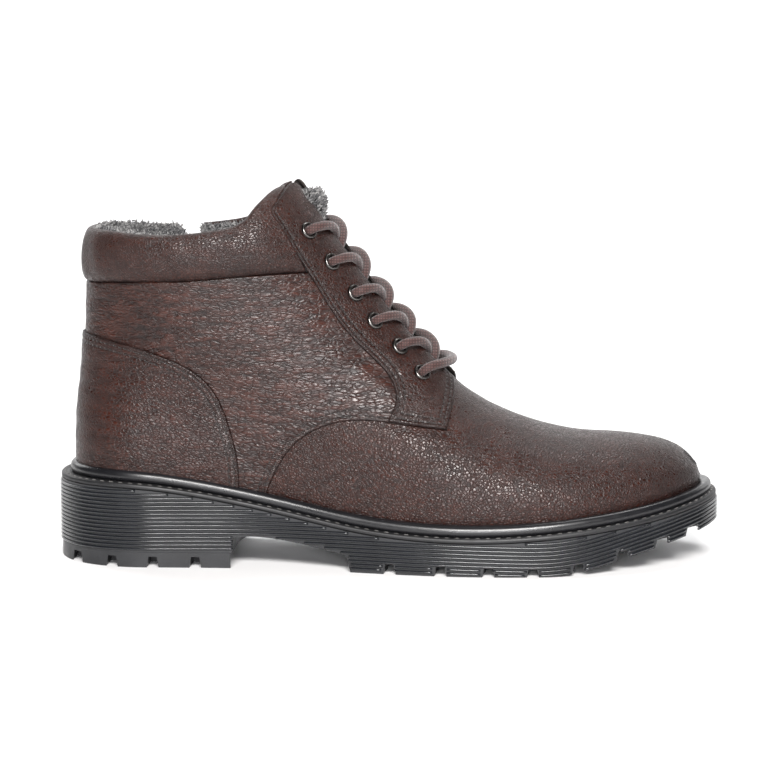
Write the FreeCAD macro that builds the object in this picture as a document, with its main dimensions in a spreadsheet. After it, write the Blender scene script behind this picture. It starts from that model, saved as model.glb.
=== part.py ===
import FreeCAD, Part
import math
import os

V = FreeCAD.Vector
os.makedirs("parts", exist_ok=True)
doc = FreeCAD.newDocument("winter_boot")

# ------------------------------------------------------------------ driving dimensions
sheet = doc.addObject("Spreadsheet::Sheet", "sizes")
SIZES = [
    ("leather", 1.2, "thickness of the upper leather"),
    ("layer_gap", 0.1, "gap between two layers"),
    ("felt", 1.2, "insulating felt"),
    ("fleece", 2.6, "fleece lining"),
    ("collar_swell", 3.6, "how far the padded collar swells"),
    ("throat_half", 9.5, "half the width of the gap under the laces"),
    ("seam_gap", 0.15, "half the gap between two panels that meet"),
    ("half_span", 90.0, "reach of the panel cutters to each side"),
    ("ledge_thick", 2.4, "thickness of the welt strip"),
    ("bead", 5.0, "height of the rand bead"),
    ("heel_lift", 7.0, "thickness of the heel top lift"),
    ("lug_depth", 5.0, "depth of the tread"),
    ("board", 2.2, "insole board"),
    ("bed", 4.0, "footbed"),
    ("cork", 2.0, "bottom filler"),
    ("shank_long", 96.0, "length of the shank"),
    ("shank_wide", 14.0, "width of the shank"),
    ("shank_thick", 1.2, "thickness of the shank"),
    ("eyelet_outer", 8.4, "flange diameter of an eyelet"),
    ("eyelet_bore", 5.0, "bore of an eyelet"),
    ("eyelet_barrel", 6.0, "barrel diameter of an eyelet"),
    ("lace_dia", 3.8, "diameter of the lace"),
    ("tip_long", 16.0, "length of a lace tip"),
    ("tip_dia", 3.2, "diameter of a lace tip"),
    ("zip_half", 6.0, "half the width of the zip's opening"),
    ("tape_thick", 0.5, "zip tape"),
    ("coil_wide", 2.2, "width of one coil"),
    ("coil_gap", 0.8, "half the gap between the coils"),
    ("slider_wide", 10.0, "width of the slider"),
    ("slider_long", 12.0, "length of the slider"),
    ("plate", 1.0, "thickness of a slider plate"),
    ("pull_long", 24.0, "length of the pull tab"),
    ("pull_wide", 7.0, "width of the pull tab"),
    ("pull_thick", 1.6, "thickness of the pull tab"),
]
for i, (name, value, note) in enumerate(SIZES):
    sheet.set("A%d" % (i + 1), note)
    sheet.set("B%d" % (i + 1), str(value))
    sheet.setAlias("B%d" % (i + 1), name)
doc.recompute()
G = {name: float(sheet.get(name)) for name, value, note in SIZES}

# ------------------------------------------------------------------ form of the boot


def spline_table(pts, n=1200):
    """Natural cubic spline through (x, y) points, as a dense table over x."""
    xs = [float(p[0]) for p in pts]
    ys = [float(p[1]) for p in pts]
    k = len(xs) - 1
    hh = [xs[i + 1] - xs[i] for i in range(k)]
    al = [0.0] + [3 * ((ys[i + 1] - ys[i]) / hh[i] - (ys[i] - ys[i - 1]) / hh[i - 1]) for i in range(1, k)]
    l, mu, zz = [1.0] + [0.0] * k, [0.0] * (k + 1), [0.0] * (k + 1)
    for i in range(1, k):
        l[i] = 2 * (xs[i + 1] - xs[i - 1]) - hh[i - 1] * mu[i - 1]
        mu[i] = hh[i] / l[i]
        zz[i] = (al[i] - hh[i - 1] * zz[i - 1]) / l[i]
    c = [0.0] * (k + 1)
    for j in range(k - 1, -1, -1):
        c[j] = zz[j] - mu[j] * c[j + 1]
    out, i = [], 0
    for q in range(n + 1):
        x = xs[0] + (xs[-1] - xs[0]) * q / n
        while i < k - 1 and x > xs[i + 1]:
            i += 1
        d = (c[i + 1] - c[i]) / (3 * hh[i])
        b = (ys[i + 1] - ys[i]) / hh[i] - hh[i] * (c[i + 1] + 2 * c[i]) / 3
        t = x - xs[i]
        out.append(ys[i] + b * t + c[i] * t * t + d * t ** 3)
    return (xs[0], xs[-1], n, out)


def ev(tab, x):
    """Value of a table at x, held at its ends."""
    x0, x1, n, out = tab
    t = (x - x0) / (x1 - x0) * n
    if t <= 0:
        return out[0]
    if t >= n:
        return out[n]
    i = int(t)
    f = t - i
    return out[i] * (1 - f) + out[i + 1] * f


def smooth(t):
    t = min(1.0, max(0.0, t))
    return t * t * (3 - 2 * t)


# ---- side profile and plan of the boot, millimetres, X to the toe, +Y to the inner side, Z up
Z0 = spline_table([(-160, 39.2), (-125, 38.9), (-110, 38.2), (-95, 36.4), (-73, 32.7), (-51, 28.3), (-30, 23.9), (-12, 20.6), (8, 18.4), (40, 17.3), (71, 18.7), (103, 22.0), (125, 25.2), (145, 29.4), (160, 33.0)])
ZR = spline_table([(-50, 187), (-42, 174.5), (-33, 161), (-22, 145.8), (-10, 129.6), (0, 117), (10, 105.2), (20, 94.4), (28, 86.2), (34, 80.6), (43, 74.1), (52.2, 69.2), (61.5, 65.3), (70.8, 62.2), (80.2, 59.9), (89.5, 58.4), (98.8, 57.5), (108, 56.8), (115, 56.1), (122, 55.1), (128, 53.7), (133.5, 51.5), (138, 48.8), (141.5, 45.7), (144, 42.2), (145.7, 37.5)], 4000)
YC = spline_table([(-150, 0), (-100, 0), (-50, -1.2), (0, -1.8), (40, -0.6), (80, 2.2), (120, 6.4), (150, 9.0)])
WL = spline_table([(-150, 30.6), (-115, 30.8), (-85, 30.8), (-60, 31.2), (-30, 34.0), (0, 39.6), (30, 45.0), (52, 46.8), (75, 46.6), (100, 44.6), (125, 41.5), (150, 38)])
WM = spline_table([(-150, 30.6), (-115, 30.6), (-90, 29.6), (-62, 28.0), (-36, 28.3), (-10, 32.4), (15, 39.2), (40, 44.8), (62, 47.0), (85, 46.4), (110, 43.2), (130, 40), (150, 37)])
WUP = spline_table([(30, 31), (50, 32.8), (65, 34.4), (85, 35.4), (105, 35.6), (120, 36.2), (132, 37.2), (145, 38.6), (155, 39.2), (180, 39.2)])
XB = spline_table([(30, -142.8), (39, -143.1), (50, -143.8), (60, -143.7), (72, -142.9), (85, -141.4), (97, -140.2), (110, -139.6), (120, -139.2), (130, -138.7), (142, -137.9), (154, -138.2), (180, -136.5)])
# level curves: v, then the front point's X and Z, then the back point's Z
LEV = [(0.0, 145.0, 29.4, 39.0), (0.06, 145.7, 37.5, 47), (0.12, 143.0, None, 54), (0.18, 136.0, None, 60), (0.25, 121, None, 66), (0.33, 98, None, 73), (0.41, 75, None, 80), (0.49, 52.2, None, 88), (0.57, 34, None, 96.5), (0.65, 18.5, None, 105.5), (0.73, 5.0, None, 114.5), (0.81, -7.5, None, 123.5), (0.88, -18.5, None, 133), (0.94, -27.0, None, 143), (1.0, -34.5, None, 153.4), (1.16, -50, None, 176)]
FX = spline_table([(a, b) for a, b, c, d in LEV], 2400)
BZ = spline_table([(a, d) for a, b, c, d in LEV], 2400)
# height of the top line over the chord, against the share of the way from back to front
TOPBOW = spline_table([(0, 0), (0.12, -2.0), (0.32, -5.6), (0.5, -7.2), (0.68, -6.6), (0.85, -3.6), (1.0, 0)])
EB_A, EB_P, ET_L, ET_M = 34.0, 2.15, 76.0, 58.0


def front(v):
    x = ev(FX, v)
    if v < 0.06:
        f = v / 0.06
        return 145.0 + 0.7 * math.sin(f * math.pi / 2), 29.4 + 8.1 * f
    return x, ev(ZR, x)


def surf(th, v):
    """Point of the boot's outer form. th runs once round from the back (0), by the outer side (0.25) and the front (0.5), and v up from the sole."""
    s = (1 - math.cos(2 * math.pi * th)) / 2
    fx, fz = front(v)
    bz = ev(BZ, v)
    bx = ev(XB, bz)
    x = bx + (fx - bx) * s
    c0 = 39.0 + (29.4 - 39.0) * s
    x0 = -143.1 + (145.0 + 143.1) * s
    vv = min(v, 1.0)
    over = max(0.0, min(1.0, (v - 1.0) / 0.16))
    z = bz + (fz - bz) * s + (ev(Z0, x0) - c0) * (1 - vv) ** 1.15 + ev(TOPBOW, s) * vv ** 1.6 * (1 - over)
    side_l = (th % 1.0) <= 0.5
    h = z - ev(Z0, x)
    b = 2.0 * math.sin(min(1.0, max(0.0, h) / 11.0) * math.pi / 2)
    w = ev(WL if side_l else WM, x) + b
    db = x - bx
    if db < EB_A:
        w *= max(0.0, 1 - (1 - db / EB_A) ** EB_P) ** (1 / EB_P)
    tip = fx if v < 0.06 else 145.7
    at = ET_L if side_l else ET_M
    dt = tip - x
    if dt < at:
        w *= max(0.0, 1 - (1 - max(0.0, dt) / at) ** 2.25) ** (1 / 2.25)
    z1 = ev(Z0, x) + 8.0
    zr = ev(ZR, x)
    if v > 0.06 and z > z1:
        a = min(1.0, (z - z1) / max(0.05, zr - z1))
        if s > 0.9999:
            a = 1.0
        w *= max(0.0, 1 - a ** 2.1) ** (1 / 2.05)
    if v <= 0.06 and s > 0.99999:
        w = 0.0
    half, xc = (fx - bx) / 2, (fx + bx) / 2
    u = min(1.0, abs((x - xc) / half))
    p = 2.2 if x > xc else 2.35
    ws = ev(WUP, z) * max(0.0, 1 - u ** p) ** (1 / p)
    m = smooth((z - 52) / 56)
    wf = (1 - m) * w + m * ws
    yc = (1 - m) * ev(YC, x)
    # the ends of every level meet on the centre line
    yc_end = yc
    return (x, yc_end - wf if side_l else yc_end + wf, z)


def normal(th, v, e=0.0012):
    a, b = surf(th + e, v), surf(th - e, v)
    v0, v1 = max(0.0, v - 0.003), min(1.16, v + 0.003)
    c, d = surf(th, v1), surf(th, v0)
    du = [a[i] - b[i] for i in range(3)]
    dv = [c[i] - d[i] for i in range(3)]
    n = [du[1] * dv[2] - du[2] * dv[1], du[2] * dv[0] - du[0] * dv[2], du[0] * dv[1] - du[1] * dv[0]]
    q = math.sqrt(sum(t * t for t in n)) or 1.0
    return [t / q for t in n]


def off(th, v, d):
    """Point d millimetres outside the form."""
    p, n = surf(th, v), normal(th, v)
    return (p[0] + n[0] * d, p[1] + n[1] * d, p[2] + n[2] * d)


def locate(x, z, side):
    """(th, v) of the point of the form over (x, z) of the side view. side is -1 on the outer side and 1 on the inner."""
    lo, hi = 0.0, 1.16

    def zz(v):
        fx, fz = front(v)
        bx = ev(XB, ev(BZ, v))
        s = min(1.0, max(0.0, (x - bx) / (fx - bx)))
        th = math.acos(1 - 2 * s) / (2 * math.pi)
        return surf(th, v)[2], th

    for _ in range(40):
        mid = (lo + hi) / 2
        if zz(mid)[0] < z:
            lo = mid
        else:
            hi = mid
    v = (lo + hi) / 2
    th = zz(v)[1]
    return (th if side < 0 else 1 - th), v

# ------------------------------------------------------------------ helpers
FINAL = []


def vec(p):
    return V(p[0], p[1], p[2])


def final(obj, name):
    obj.Label = name
    FINAL.append((obj, name))
    return obj


def feature(name, shape):
    o = doc.addObject("Part::Feature", name)
    o.Shape = shape
    return o


def skin(th0, th1, v0, v1, d0, d1, nu, nv):
    """Closed layer between two offsets of the form, over a range of th and v. The offsets may be functions of th and v."""
    def at(d, th, v):
        return d(th, v) if callable(d) else d
    surfs = []
    for d in (d0, d1):
        rows = []
        for j in range(nv + 1):
            v = v0 + (v1 - v0) * j / nv
            rows.append([vec(off(th0 + (th1 - th0) * i / nu, v, at(d, th0 + (th1 - th0) * i / nu, v))) for i in range(nu + 1)])
        sf = Part.BSplineSurface()
        sf.interpolate(rows)
        surfs.append(sf)
    faces = [sf.toShape() for sf in surfs]
    a0, a1, b0, b1 = surfs[0].bounds()
    for get in (lambda q: q.uIso(a0), lambda q: q.uIso(a1), lambda q: q.vIso(b0), lambda q: q.vIso(b1)):
        faces.append(Part.makeRuledSurface(get(surfs[0]).toShape(), get(surfs[1]).toShape()))
    shell = Part.Shell(faces)
    shell.sewShape()
    solid = Part.Solid(shell)
    if solid.Volume < 0:
        solid.reverse()
    return solid


def shift(line, d):
    """The polyline moved d to its left."""
    out = []
    for i, p in enumerate(line):
        a, b = line[max(0, i - 1)], line[min(len(line) - 1, i + 1)]
        tx, tz = b[0] - a[0], b[1] - a[1]
        q = math.hypot(tx, tz)
        out.append((p[0] - tz / q * d, p[1] + tx / q * d))
    return out


def outline(curves, y):
    """Face in the plane Y = y. Each curve is a list of (x, z): a smooth line through its points, or a straight one for two points."""
    edges = []
    ends = [c[0] for c in curves]
    for k, c in enumerate(curves):
        pts = [V(a, y, b) for a, b in c]
        nxt = V(ends[(k + 1) % len(curves)][0], y, ends[(k + 1) % len(curves)][1])
        if len(pts) == 2:
            edges.append(Part.LineSegment(pts[0], pts[1]).toShape())
        elif len(pts) > 2:
            bs = Part.BSplineCurve()
            bs.interpolate(pts)
            edges.append(bs.toShape())
        if pts[-1].distanceToPoint(nxt) > 1e-6:
            edges.append(Part.LineSegment(pts[-1], nxt).toShape())
    return Part.Face(Part.Wire(edges))


def cutter(name, curves, side, start="0"):
    """Outline drawn out along Y. side is -1, 1 or 0 for both; start is the distance of its near face from the middle, a number or a cell."""
    near = float(G[start]) if start in G else float(start) - 6.0
    base = feature(name + "_outline", outline(curves, -G["half_span"] if side <= 0 else near))
    ex = doc.addObject("Part::Extrusion", name + "_cutter")
    ex.Base = base
    ex.DirMode = "Custom"
    ex.Dir = V(0, 1, 0)
    if side == 0:
        ex.setExpression("LengthFwd", "2 * sizes.half_span")
    elif start in G:
        ex.setExpression("LengthFwd", "sizes.half_span - sizes." + start)
    elif side < 0:
        ex.setExpression("LengthFwd", "sizes.half_span + 6")
    else:
        ex.setExpression("LengthFwd", "sizes.half_span + 6")
    ex.Solid = True
    return ex


def common(name, a, b):
    o = doc.addObject("Part::Common", name)
    o.Base, o.Tool = a, b
    return o


def cut(name, a, b):
    o = doc.addObject("Part::Cut", name)
    o.Base, o.Tool = a, b
    return o


def fuse(name, items):
    o = doc.addObject("Part::MultiFuse", name)
    o.Shapes = items
    return o


# ------------------------------------------------------------------ seam lines in the side view, (x, z)
COLLAR_LINE = [(-160, 128.6), (-137.2, 128.4), (-115.5, 130.0), (-94.3, 130.7), (-63.1, 133.1), (-42.7, 134.1), (-30.0, 134.4), (-15, 134.4)]
COVER_LINE = [(-160, 106.0), (-140.4, 104.8), (-125.0, 102.6), (-111.6, 99.6), (-98.5, 95.4), (-88.8, 91.0), (-78.6, 82.4), (-72.6, 70.9), (-69.9, 62.7), (-66.7, 48.9), (-66.0, 36.8), (-65.8, 18)]
COVER_LINE_IN = [(-160, 106.0), (-140.4, 104.8), (-125.0, 101.6), (-112.0, 95.6), (-104.0, 87.0), (-99.8, 76.0), (-97.6, 62.0), (-96.6, 48.0), (-96.0, 36.8), (-95.8, 18)]
STAY_REAR = [(-52.7, 161.8), (-46.9, 153.2), (-40.4, 142.4), (-32.6, 129.9), (-23.5, 115.0), (-14.0, 102.9), (-4.1, 93.2), (2.6, 85.1), (5.0, 77.8), (3.7, 71.0), (1.0, 64.0), (-1.5, 57.0)]
LOWER = [(-53.6, 12), (-53.0, 35.5), (-49.2, 44.2), (-42.7, 54.5), (-34.5, 61.6), (-23.9, 66.3), (-11.6, 68.1), (-1.2, 67.6), (15.6, 65.3), (28.5, 63.6)]
VAMP_BACK = [(-61.5, 12), (-61.0, 35.5), (-57.5, 46.0), (-50.0, 58.5), (-40.0, 67.8), (-26.0, 73.6), (-12.0, 75.6), (0.0, 75.0), (10.0, 74.4), (17.0, 77.0), (21.0, 84.0), (23.0, 92), (25, 120)]
THROAT_FOOT = [(28.1, 63.6), (28.7, 66.7), (29.5, 70.6), (30.2, 76), (30.2, 80), (29.4, 83), (27.5, 85.7), (24, 89.5), (18, 97)]
PEAK = [(-52.7, 161.8), (-49.4, 167.0), (-46.6, 171.6), (-44.6, 173.4), (-42.4, 172.2), (-39.6, 167.8), (-36.0, 163.2), (-28.0, 160.5), (-10, 158)]
ZA, ZB = (-95.5, 148.4), (-82.5, 61.6)


def zline(z, w=0.0):
    """x on the zip's line at height z, w towards the toe."""
    return ZA[0] + (ZB[0] - ZA[0]) * (z - ZA[1]) / (ZB[1] - ZA[1]) + w


g = G["seam_gap"]
T1 = G["layer_gap"] + G["leather"]
FE0, FE1 = -G["leather"] - G["layer_gap"] - G["felt"], -G["leather"] - G["layer_gap"]
LI1 = FE0 - G["layer_gap"]
LI0 = LI1 - G["fleece"]

# whole layers of the upper, one half round the boot each
sk_base_l = feature("base_layer_outer", skin(0.0, 0.5, 0.005, 1.1, G["layer_gap"], T1, 40, 30))
sk_base_m = feature("base_layer_inner", skin(0.5, 1.0, 0.005, 1.1, G["layer_gap"], T1, 40, 30))
sk_over_l = feature("over_layer_outer", skin(0.0, 0.5, 0.0, 1.1, T1 + G["layer_gap"], T1 + G["layer_gap"] + G["leather"], 40, 30))
sk_over_m = feature("over_layer_inner", skin(0.5, 1.0, 0.0, 1.1, T1 + G["layer_gap"], T1 + G["layer_gap"] + G["leather"], 40, 30))
sk_vamp = feature("vamp_layer", skin(0.14, 0.86, 0.003, 0.68, -G["leather"], 0.0, 72, 26))
sk_felt_l = feature("felt_layer_outer", skin(0.0005, 0.5, 0.012, 0.985, FE0, FE1, 36, 26))
sk_felt_m = feature("felt_layer_inner", skin(0.5, 1.0, 0.012, 0.985, FE0, FE1, 36, 26))
sk_felt_v = feature("felt_layer_vamp", skin(0.14, 0.86, 0.014, 0.66, FE0 - 0.15, FE1 - 0.3, 72, 26))
sk_line_l = feature("lining_layer_outer", skin(0.0005, 0.5, 0.012, 0.985, LI0, LI1, 36, 26))
sk_line_m = feature("lining_layer_inner", skin(0.5, 1.0, 0.012, 0.985, LI0, LI1, 36, 26))
sk_line_v = feature("lining_layer_vamp", skin(0.14, 0.86, 0.014, 0.66, LI0, LI1 - 0.2, 72, 26))
sk_count = feature("counter_layer", skin(-0.2, 0.2, 0.02, 0.62, 0.25 - G["leather"], -0.05, 40, 20))
sk_cover = feature("cover_layer", skin(-0.24, 0.24, 0.010, 0.72, T1 + G["layer_gap"] + 0.05, T1 + G["layer_gap"] + G["leather"] + 0.05, 60, 30))

# ------------------------------------------------------------------ vamp and toe puff
vamp_c = cutter("vamp", [VAMP_BACK, [(170, 120), (170, 5)]], 0)
final(common("vamp", sk_vamp, vamp_c), "vamp")
toe_c = cutter("toe_puff", [[(96, 5), (93, 30), (90, 80)], [(170, 80), (170, 5)]], 0)
final(common("toe_puff", sk_felt_v, toe_c), "toe_puff")
ins_v_c = cutter("insulation_vamp", [[(-46, 5), (-40, 50), (-16, 70), (8, 72), (20, 80), (24, 120)], [(89.6, 80), (92.6, 30), (95.6, 5)]], 0)
final(common("insulation_vamp", sk_felt_v, ins_v_c), "insulation_vamp")
LV = [(-45.7, 5), (-39.6, 50), (-15.6, 70.3), (8.4, 72.6), (20.4, 80.4), (24.6, 120)]
lin_v_c = cutter("lining_vamp", [LV, [(170, 120), (170, 5)]], 0)
final(common("lining_vamp", sk_line_v, lin_v_c), "lining_vamp")

# ------------------------------------------------------------------ quarters and facings
QF = shift(STAY_REAR, 8.0)
QF_lo = [p for p in QF if p[1] < 131]
front_cut = [(-27.0, 134.3)] + QF_lo[:-2]
q_end = (12.0, 66.0)
low = [p for p in LOWER if p[0] < 10]
quarter_curves = [shift(COLLAR_LINE[:6], -2 * g) + [(-27.6, 134.0)],
                  [(-27.6, 134.0)] + [p for p in QF if p[1] < 128 and p[1] > 76] + [(12.6, 72.0), (11.0, 66.4)],
                  [(11.0, 66.4)] + list(reversed([p for p in LOWER if p[0] < 5])),
                  [(-53.6, 12), (-160, 12)]]
q_cut_l = cutter("quarter_outer", quarter_curves, -1)
final(common("quarter_lateral", sk_base_l, q_cut_l), "quarter_lateral")
q_cut_m = cutter("quarter_inner", quarter_curves, 1)
half_m = common("quarter_inner_whole", sk_base_m, q_cut_m)


def zip_side(name, w_hi, w_lo, z_end, front):
    """Outline of everything in front of (or behind) the zip's opening, which is w_hi wide each way and closes to w_lo below z_end."""
    s = 1 if front else -1
    line = [(zline(190, s * w_hi), 190), (zline(z_end, s * w_hi), z_end), (zline(z_end, s * w_lo), z_end - 0.01), (zline(0, s * w_lo), 0)]
    far = 100 if front else -170
    return cutter(name, [[line[0], line[1]], [line[1], line[2]], [line[2], line[3]], [(far, 0), (far, 190)]], 1)


zf = zip_side("zip_front_side", G["zip_half"], g, 57.0, True)
zr = zip_side("zip_rear_side", G["zip_half"], g, 57.0, False)
final(common("quarter_medial_front", half_m, zf), "quarter_medial_front")
final(common("quarter_medial_rear", half_m, zr), "quarter_medial_rear")

stay_curves = [PEAK, [(60, 158), (60, 100)], list(reversed(THROAT_FOOT)),
               list(reversed([p for p in LOWER if p[0] > -2] )), [(-1.2, 67.6), (1.9, 67.6)],
               [(1.9, 67.6), (3.7, 71.0), (5.0, 77.8), (2.6, 85.1), (-4.1, 93.2), (-14.0, 102.9), (-23.5, 115.0), (-32.6, 129.9), (-40.4, 142.4), (-46.9, 153.2), (-52.7, 161.8)]]
stay_curves[3] = [(28.1, 63.6), (15.6, 65.3), (1.9, 67.25)]
stay_curves[4] = [(1.9, 67.25), (1.9, 67.6)]
st_l = cutter("eyestay_outer", stay_curves, -1, "0")
st_l.LengthFwd = 10
st_l.setExpression("LengthFwd", "sizes.half_span - sizes.throat_half")
st_m = cutter("eyestay_inner", stay_curves, 1, "throat_half")
raw_stay_l = common("eyestay_outer_blank", sk_over_l, st_l)
raw_stay_m = common("eyestay_inner_blank", sk_over_m, st_m)

fac_curves = [shift(PEAK, -0.6), [(60, 157.4), (60, 100)], [(17.2, 96.4), (23.4, 88.8), (26.9, 85.0), (28.8, 82.4), (29.6, 79.8), (29.6, 76), (28.9, 70.8), (28.1, 66.9), (27.6, 64.4)],
              [(27.6, 64.4), (20.0, 65.6), (11.5, 66.8)],
              [(11.5, 66.8), (12.95, 72.0)] + [(a + 0.35, b) for a, b in reversed([p for p in QF if p[1] < 128 and p[1] > 76])] + [(-27.2, 134.6)],
              [(-27.2, 134.6), (-36.0, 134.6)], [(-36.0, 134.6), (-40.0, 142.6), (-46.5, 153.4), (-52.2, 161.6)]]
fac_curves[0] = [(-52.2, 161.6), (-49.0, 166.6), (-46.4, 171.0), (-44.6, 172.6), (-42.8, 171.6), (-40.2, 167.4), (-36.6, 162.8), (-28.2, 160.0), (-10, 157.4)]
fa_l = cutter("facing_outer", fac_curves, -1, "0")
fa_l.setExpression("LengthFwd", "sizes.half_span - sizes.throat_half - 0.5")
fa_m = cutter("facing_inner", fac_curves, 1, "0")
fa_m.Base.Shape = outline(fac_curves, G["throat_half"] + 0.5)
fa_m.setExpression("LengthFwd", "sizes.half_span - sizes.throat_half - 0.5")
raw_fac_l = common("facing_outer_blank", sk_base_l, fa_l)
raw_fac_m = common("facing_inner_blank", sk_base_m, fa_m)

# ------------------------------------------------------------------ eyelets
EYES = [(0.4135, 0.9505), (0.4165, 0.8755), (0.4185, 0.8055), (0.4160, 0.7390), (0.4215, 0.6725), (0.4200, 0.6105)]


def frame_at(th, v):
    return vec(surf(th, v)), vec(normal(th, v))


def ring(th, v, d0, d1, r1, r0):
    p, n = frame_at(th, v)
    a = Part.makeCylinder(r1, d1 - d0, p + n * d0, n)
    return a.cut(Part.makeCylinder(r0, d1 - d0 + 2, p + n * (d0 - 1), n)) if r0 else a


top = T1 + G["layer_gap"] + G["leather"]


def eyelet(th, v):
    ro, rb, rr = G["eyelet_outer"] / 2, G["eyelet_barrel"] / 2, G["eyelet_bore"] / 2
    p, n = frame_at(th, v)
    prof = [(rr, -0.8), (rr + 1.2, -0.8), (rr + 1.3, -0.25), (rb, -0.25), (rb, top + 0.25), (ro, top + 0.25), (ro - 0.1, top + 0.6), (ro - 0.6, top + 0.95), (rb - 0.1, top + 0.8), (rr, top + 0.2)]
    face = Part.Face(Part.makePolygon([V(a, 0, b) for a, b in prof] + [V(prof[0][0], 0, prof[0][1])]))
    sol = face.revolve(V(0, 0, 0), V(0, 0, 1), 360)
    sol.Placement = FreeCAD.Placement(p, FreeCAD.Rotation(V(0, 0, 1), n))
    return sol


for side, nm in ((0, "lateral"), (1, "medial")):
    ths = [(th if side == 0 else 1 - th, v) for th, v in EYES]
    final(feature("eyelets_" + nm, Part.makeCompound([eyelet(th, v) for th, v in ths])), "eyelets_" + nm)
    holes = feature("eyelet_holes_" + nm, Part.makeCompound([ring(th, v, -3, 7, G["eyelet_barrel"] / 2 + 0.15, 0) for th, v in ths]))
    final(cut("eyestay_" + nm, raw_stay_l if side == 0 else raw_stay_m, holes), "eyestay_" + nm)
    final(cut("facing_" + nm, raw_fac_l if side == 0 else raw_fac_m, holes), "facing_" + nm)

# ------------------------------------------------------------------ heel counter and its cover
cov_l = cutter("cover_outer", [COVER_LINE, [(-65.8, 12), (-160, 12)]], -1)
cov_m = cutter("cover_inner", [COVER_LINE_IN, [(-95.8, 12), (-160, 12)]], 1)
cov = fuse("cover_cutter_whole", [cov_l, cov_m])
cov_l.setExpression("LengthFwd", "sizes.half_span + 0.01")
cov_m.Base.Shape = outline([COVER_LINE_IN, [(-95.8, 12), (-160, 12)]], 0.0)
cov_m.setExpression("LengthFwd", "sizes.half_span")
final(common("heel_counter_cover", sk_cover, cov), "heel_counter_cover")
cnt_l = cutter("counter_outer", [shift(COVER_LINE, -7.0), [(-73.0, 12), (-160, 12)]], -1)
cnt_m = cutter("counter_inner", [shift(COVER_LINE_IN, -4.0), [(-100.0, 12), (-160, 12)]], 1)
cnt_l.setExpression("LengthFwd", "sizes.half_span + 0.01")
cnt_m.Base.Shape = outline([shift(COVER_LINE_IN, -4.0), [(-100.0, 12), (-160, 12)]], 0.0)
cnt_m.setExpression("LengthFwd", "sizes.half_span")
cnt = fuse("counter_cutter_whole", [cnt_l, cnt_m])
final(common("heel_counter", sk_count, cnt), "heel_counter")

# ------------------------------------------------------------------ insulating felt and fleece linings
back_line = [(-46.4, 5), (-40.4, 50.4), (-16.4, 70.6), (6.5, 73.0), (-1.0, 81), (-8.4, 92.6), (-18.4, 102.6), (-28.0, 115.0), (-37.0, 130.2), (-44.6, 142.6), (-51.0, 153.2), (-57.5, 163), (-62, 175)]
felt_curves = [[(-160, 5), (-46.4, 5)], [(-46.4, 5), (-40.6, 50.2), (-24.0, 66.4), (-6.0, 71.6)], [(-6.0, 71.6), (-1.4, 78.0), (-3.6, 86), (-9.0, 92.4), (-18.4, 102.6), (-28.0, 115.0), (-37.0, 130.2), (-44.6, 142.6), (-51.0, 153.2), (-57.5, 163), (-62, 175)], [(-62, 190), (-160, 190)]]
fe_l = cutter("felt_outer", felt_curves, -1)
final(common("insulation_lateral", sk_felt_l, fe_l), "insulation_lateral")
fe_m = cutter("felt_inner", felt_curves, 1)
fe_mw = common("felt_inner_whole", sk_felt_m, fe_m)
zf2 = zip_side("zip_front_clear", 8.6, g, 54.0, True)
zr2 = zip_side("zip_rear_clear", 8.6, g, 54.0, False)
final(common("insulation_medial_front", fe_mw, zf2), "insulation_medial_front")
final(common("insulation_medial_rear", fe_mw, zr2), "insulation_medial_rear")
li_curves = [[(-160, 5), (-46.3, 5)], [(-46.3, 5), (-40.2, 50.2), (-23.6, 66.6), (2.6, 73.4)], [(2.6, 73.4), (6.4, 79.0), (3.6, 87), (-3.4, 95.0), (-12.4, 104.6), (-22.0, 116.6), (-31.0, 131.4), (-38.6, 143.8), (-45.6, 155.2), (-51.5, 165), (-56, 176)], [(-56, 190), (-160, 190)]]
li_l = cutter("lining_outer", li_curves, -1)
final(common("lining_lateral", sk_line_l, li_l), "lining_lateral")
li_m = cutter("lining_inner", li_curves, 1)
li_mw = common("lining_inner_whole", sk_line_m, li_m)
final(common("lining_medial_front", li_mw, zf2), "lining_medial_front")
final(common("lining_medial_rear", li_mw, zr2), "lining_medial_rear")

# ------------------------------------------------------------------ padded collar
CBOT = spline_table([(0, 0.846), (0.0518, 0.8494), (0.149, 0.8702), (0.212, 0.8841), (0.2964, 0.8902), (0.3521, 0.8780), (0.3788, 0.8693), (0.42, 0.86)])
CTOP = spline_table([(0, 1.0), (0.2, 1.003), (0.28, 1.0075), (0.3184, 1.0115), (0.3277, 1.0152), (0.3401, 1.0252), (0.3555, 1.0389), (0.3723, 1.0505), (0.391, 1.0615), (0.4072, 1.068), (0.44, 1.0715)])


def collar_solid(medial):
    def at(th, q, d):
        v = ev(CBOT, th) + (ev(CTOP, th) - ev(CBOT, th)) * q
        return vec(off(1 - th if medial else th, v, d))
    def dout(q):
        return 0.55 + G["collar_swell"] * max(0.0, math.sin(math.pi * q)) ** 0.7
    nu, nv = 44, 12
    surfs = []
    for k in (0, 1):
        rows = []
        for j in range(nv + 1):
            q = (1 - math.cos(math.pi * j / nv)) / 2
            rows.append([at(0.436 * i / nu, q, G["layer_gap"] if k == 0 else dout(q)) for i in range(nu + 1)])
        sf = Part.BSplineSurface()
        sf.interpolate(rows)
        surfs.append(sf)
    faces = [sf.toShape() for sf in surfs]
    a0, a1, b0, b1 = surfs[0].bounds()
    for get in (lambda q: q.uIso(a0), lambda q: q.uIso(a1), lambda q: q.vIso(b0), lambda q: q.vIso(b1)):
        faces.append(Part.makeRuledSurface(get(surfs[0]).toShape(), get(surfs[1]).toShape()))
    shell = Part.Shell(faces)
    shell.sewShape()
    solid = Part.Solid(shell)
    if solid.Volume < 0:
        solid.reverse()
    return solid


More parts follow.
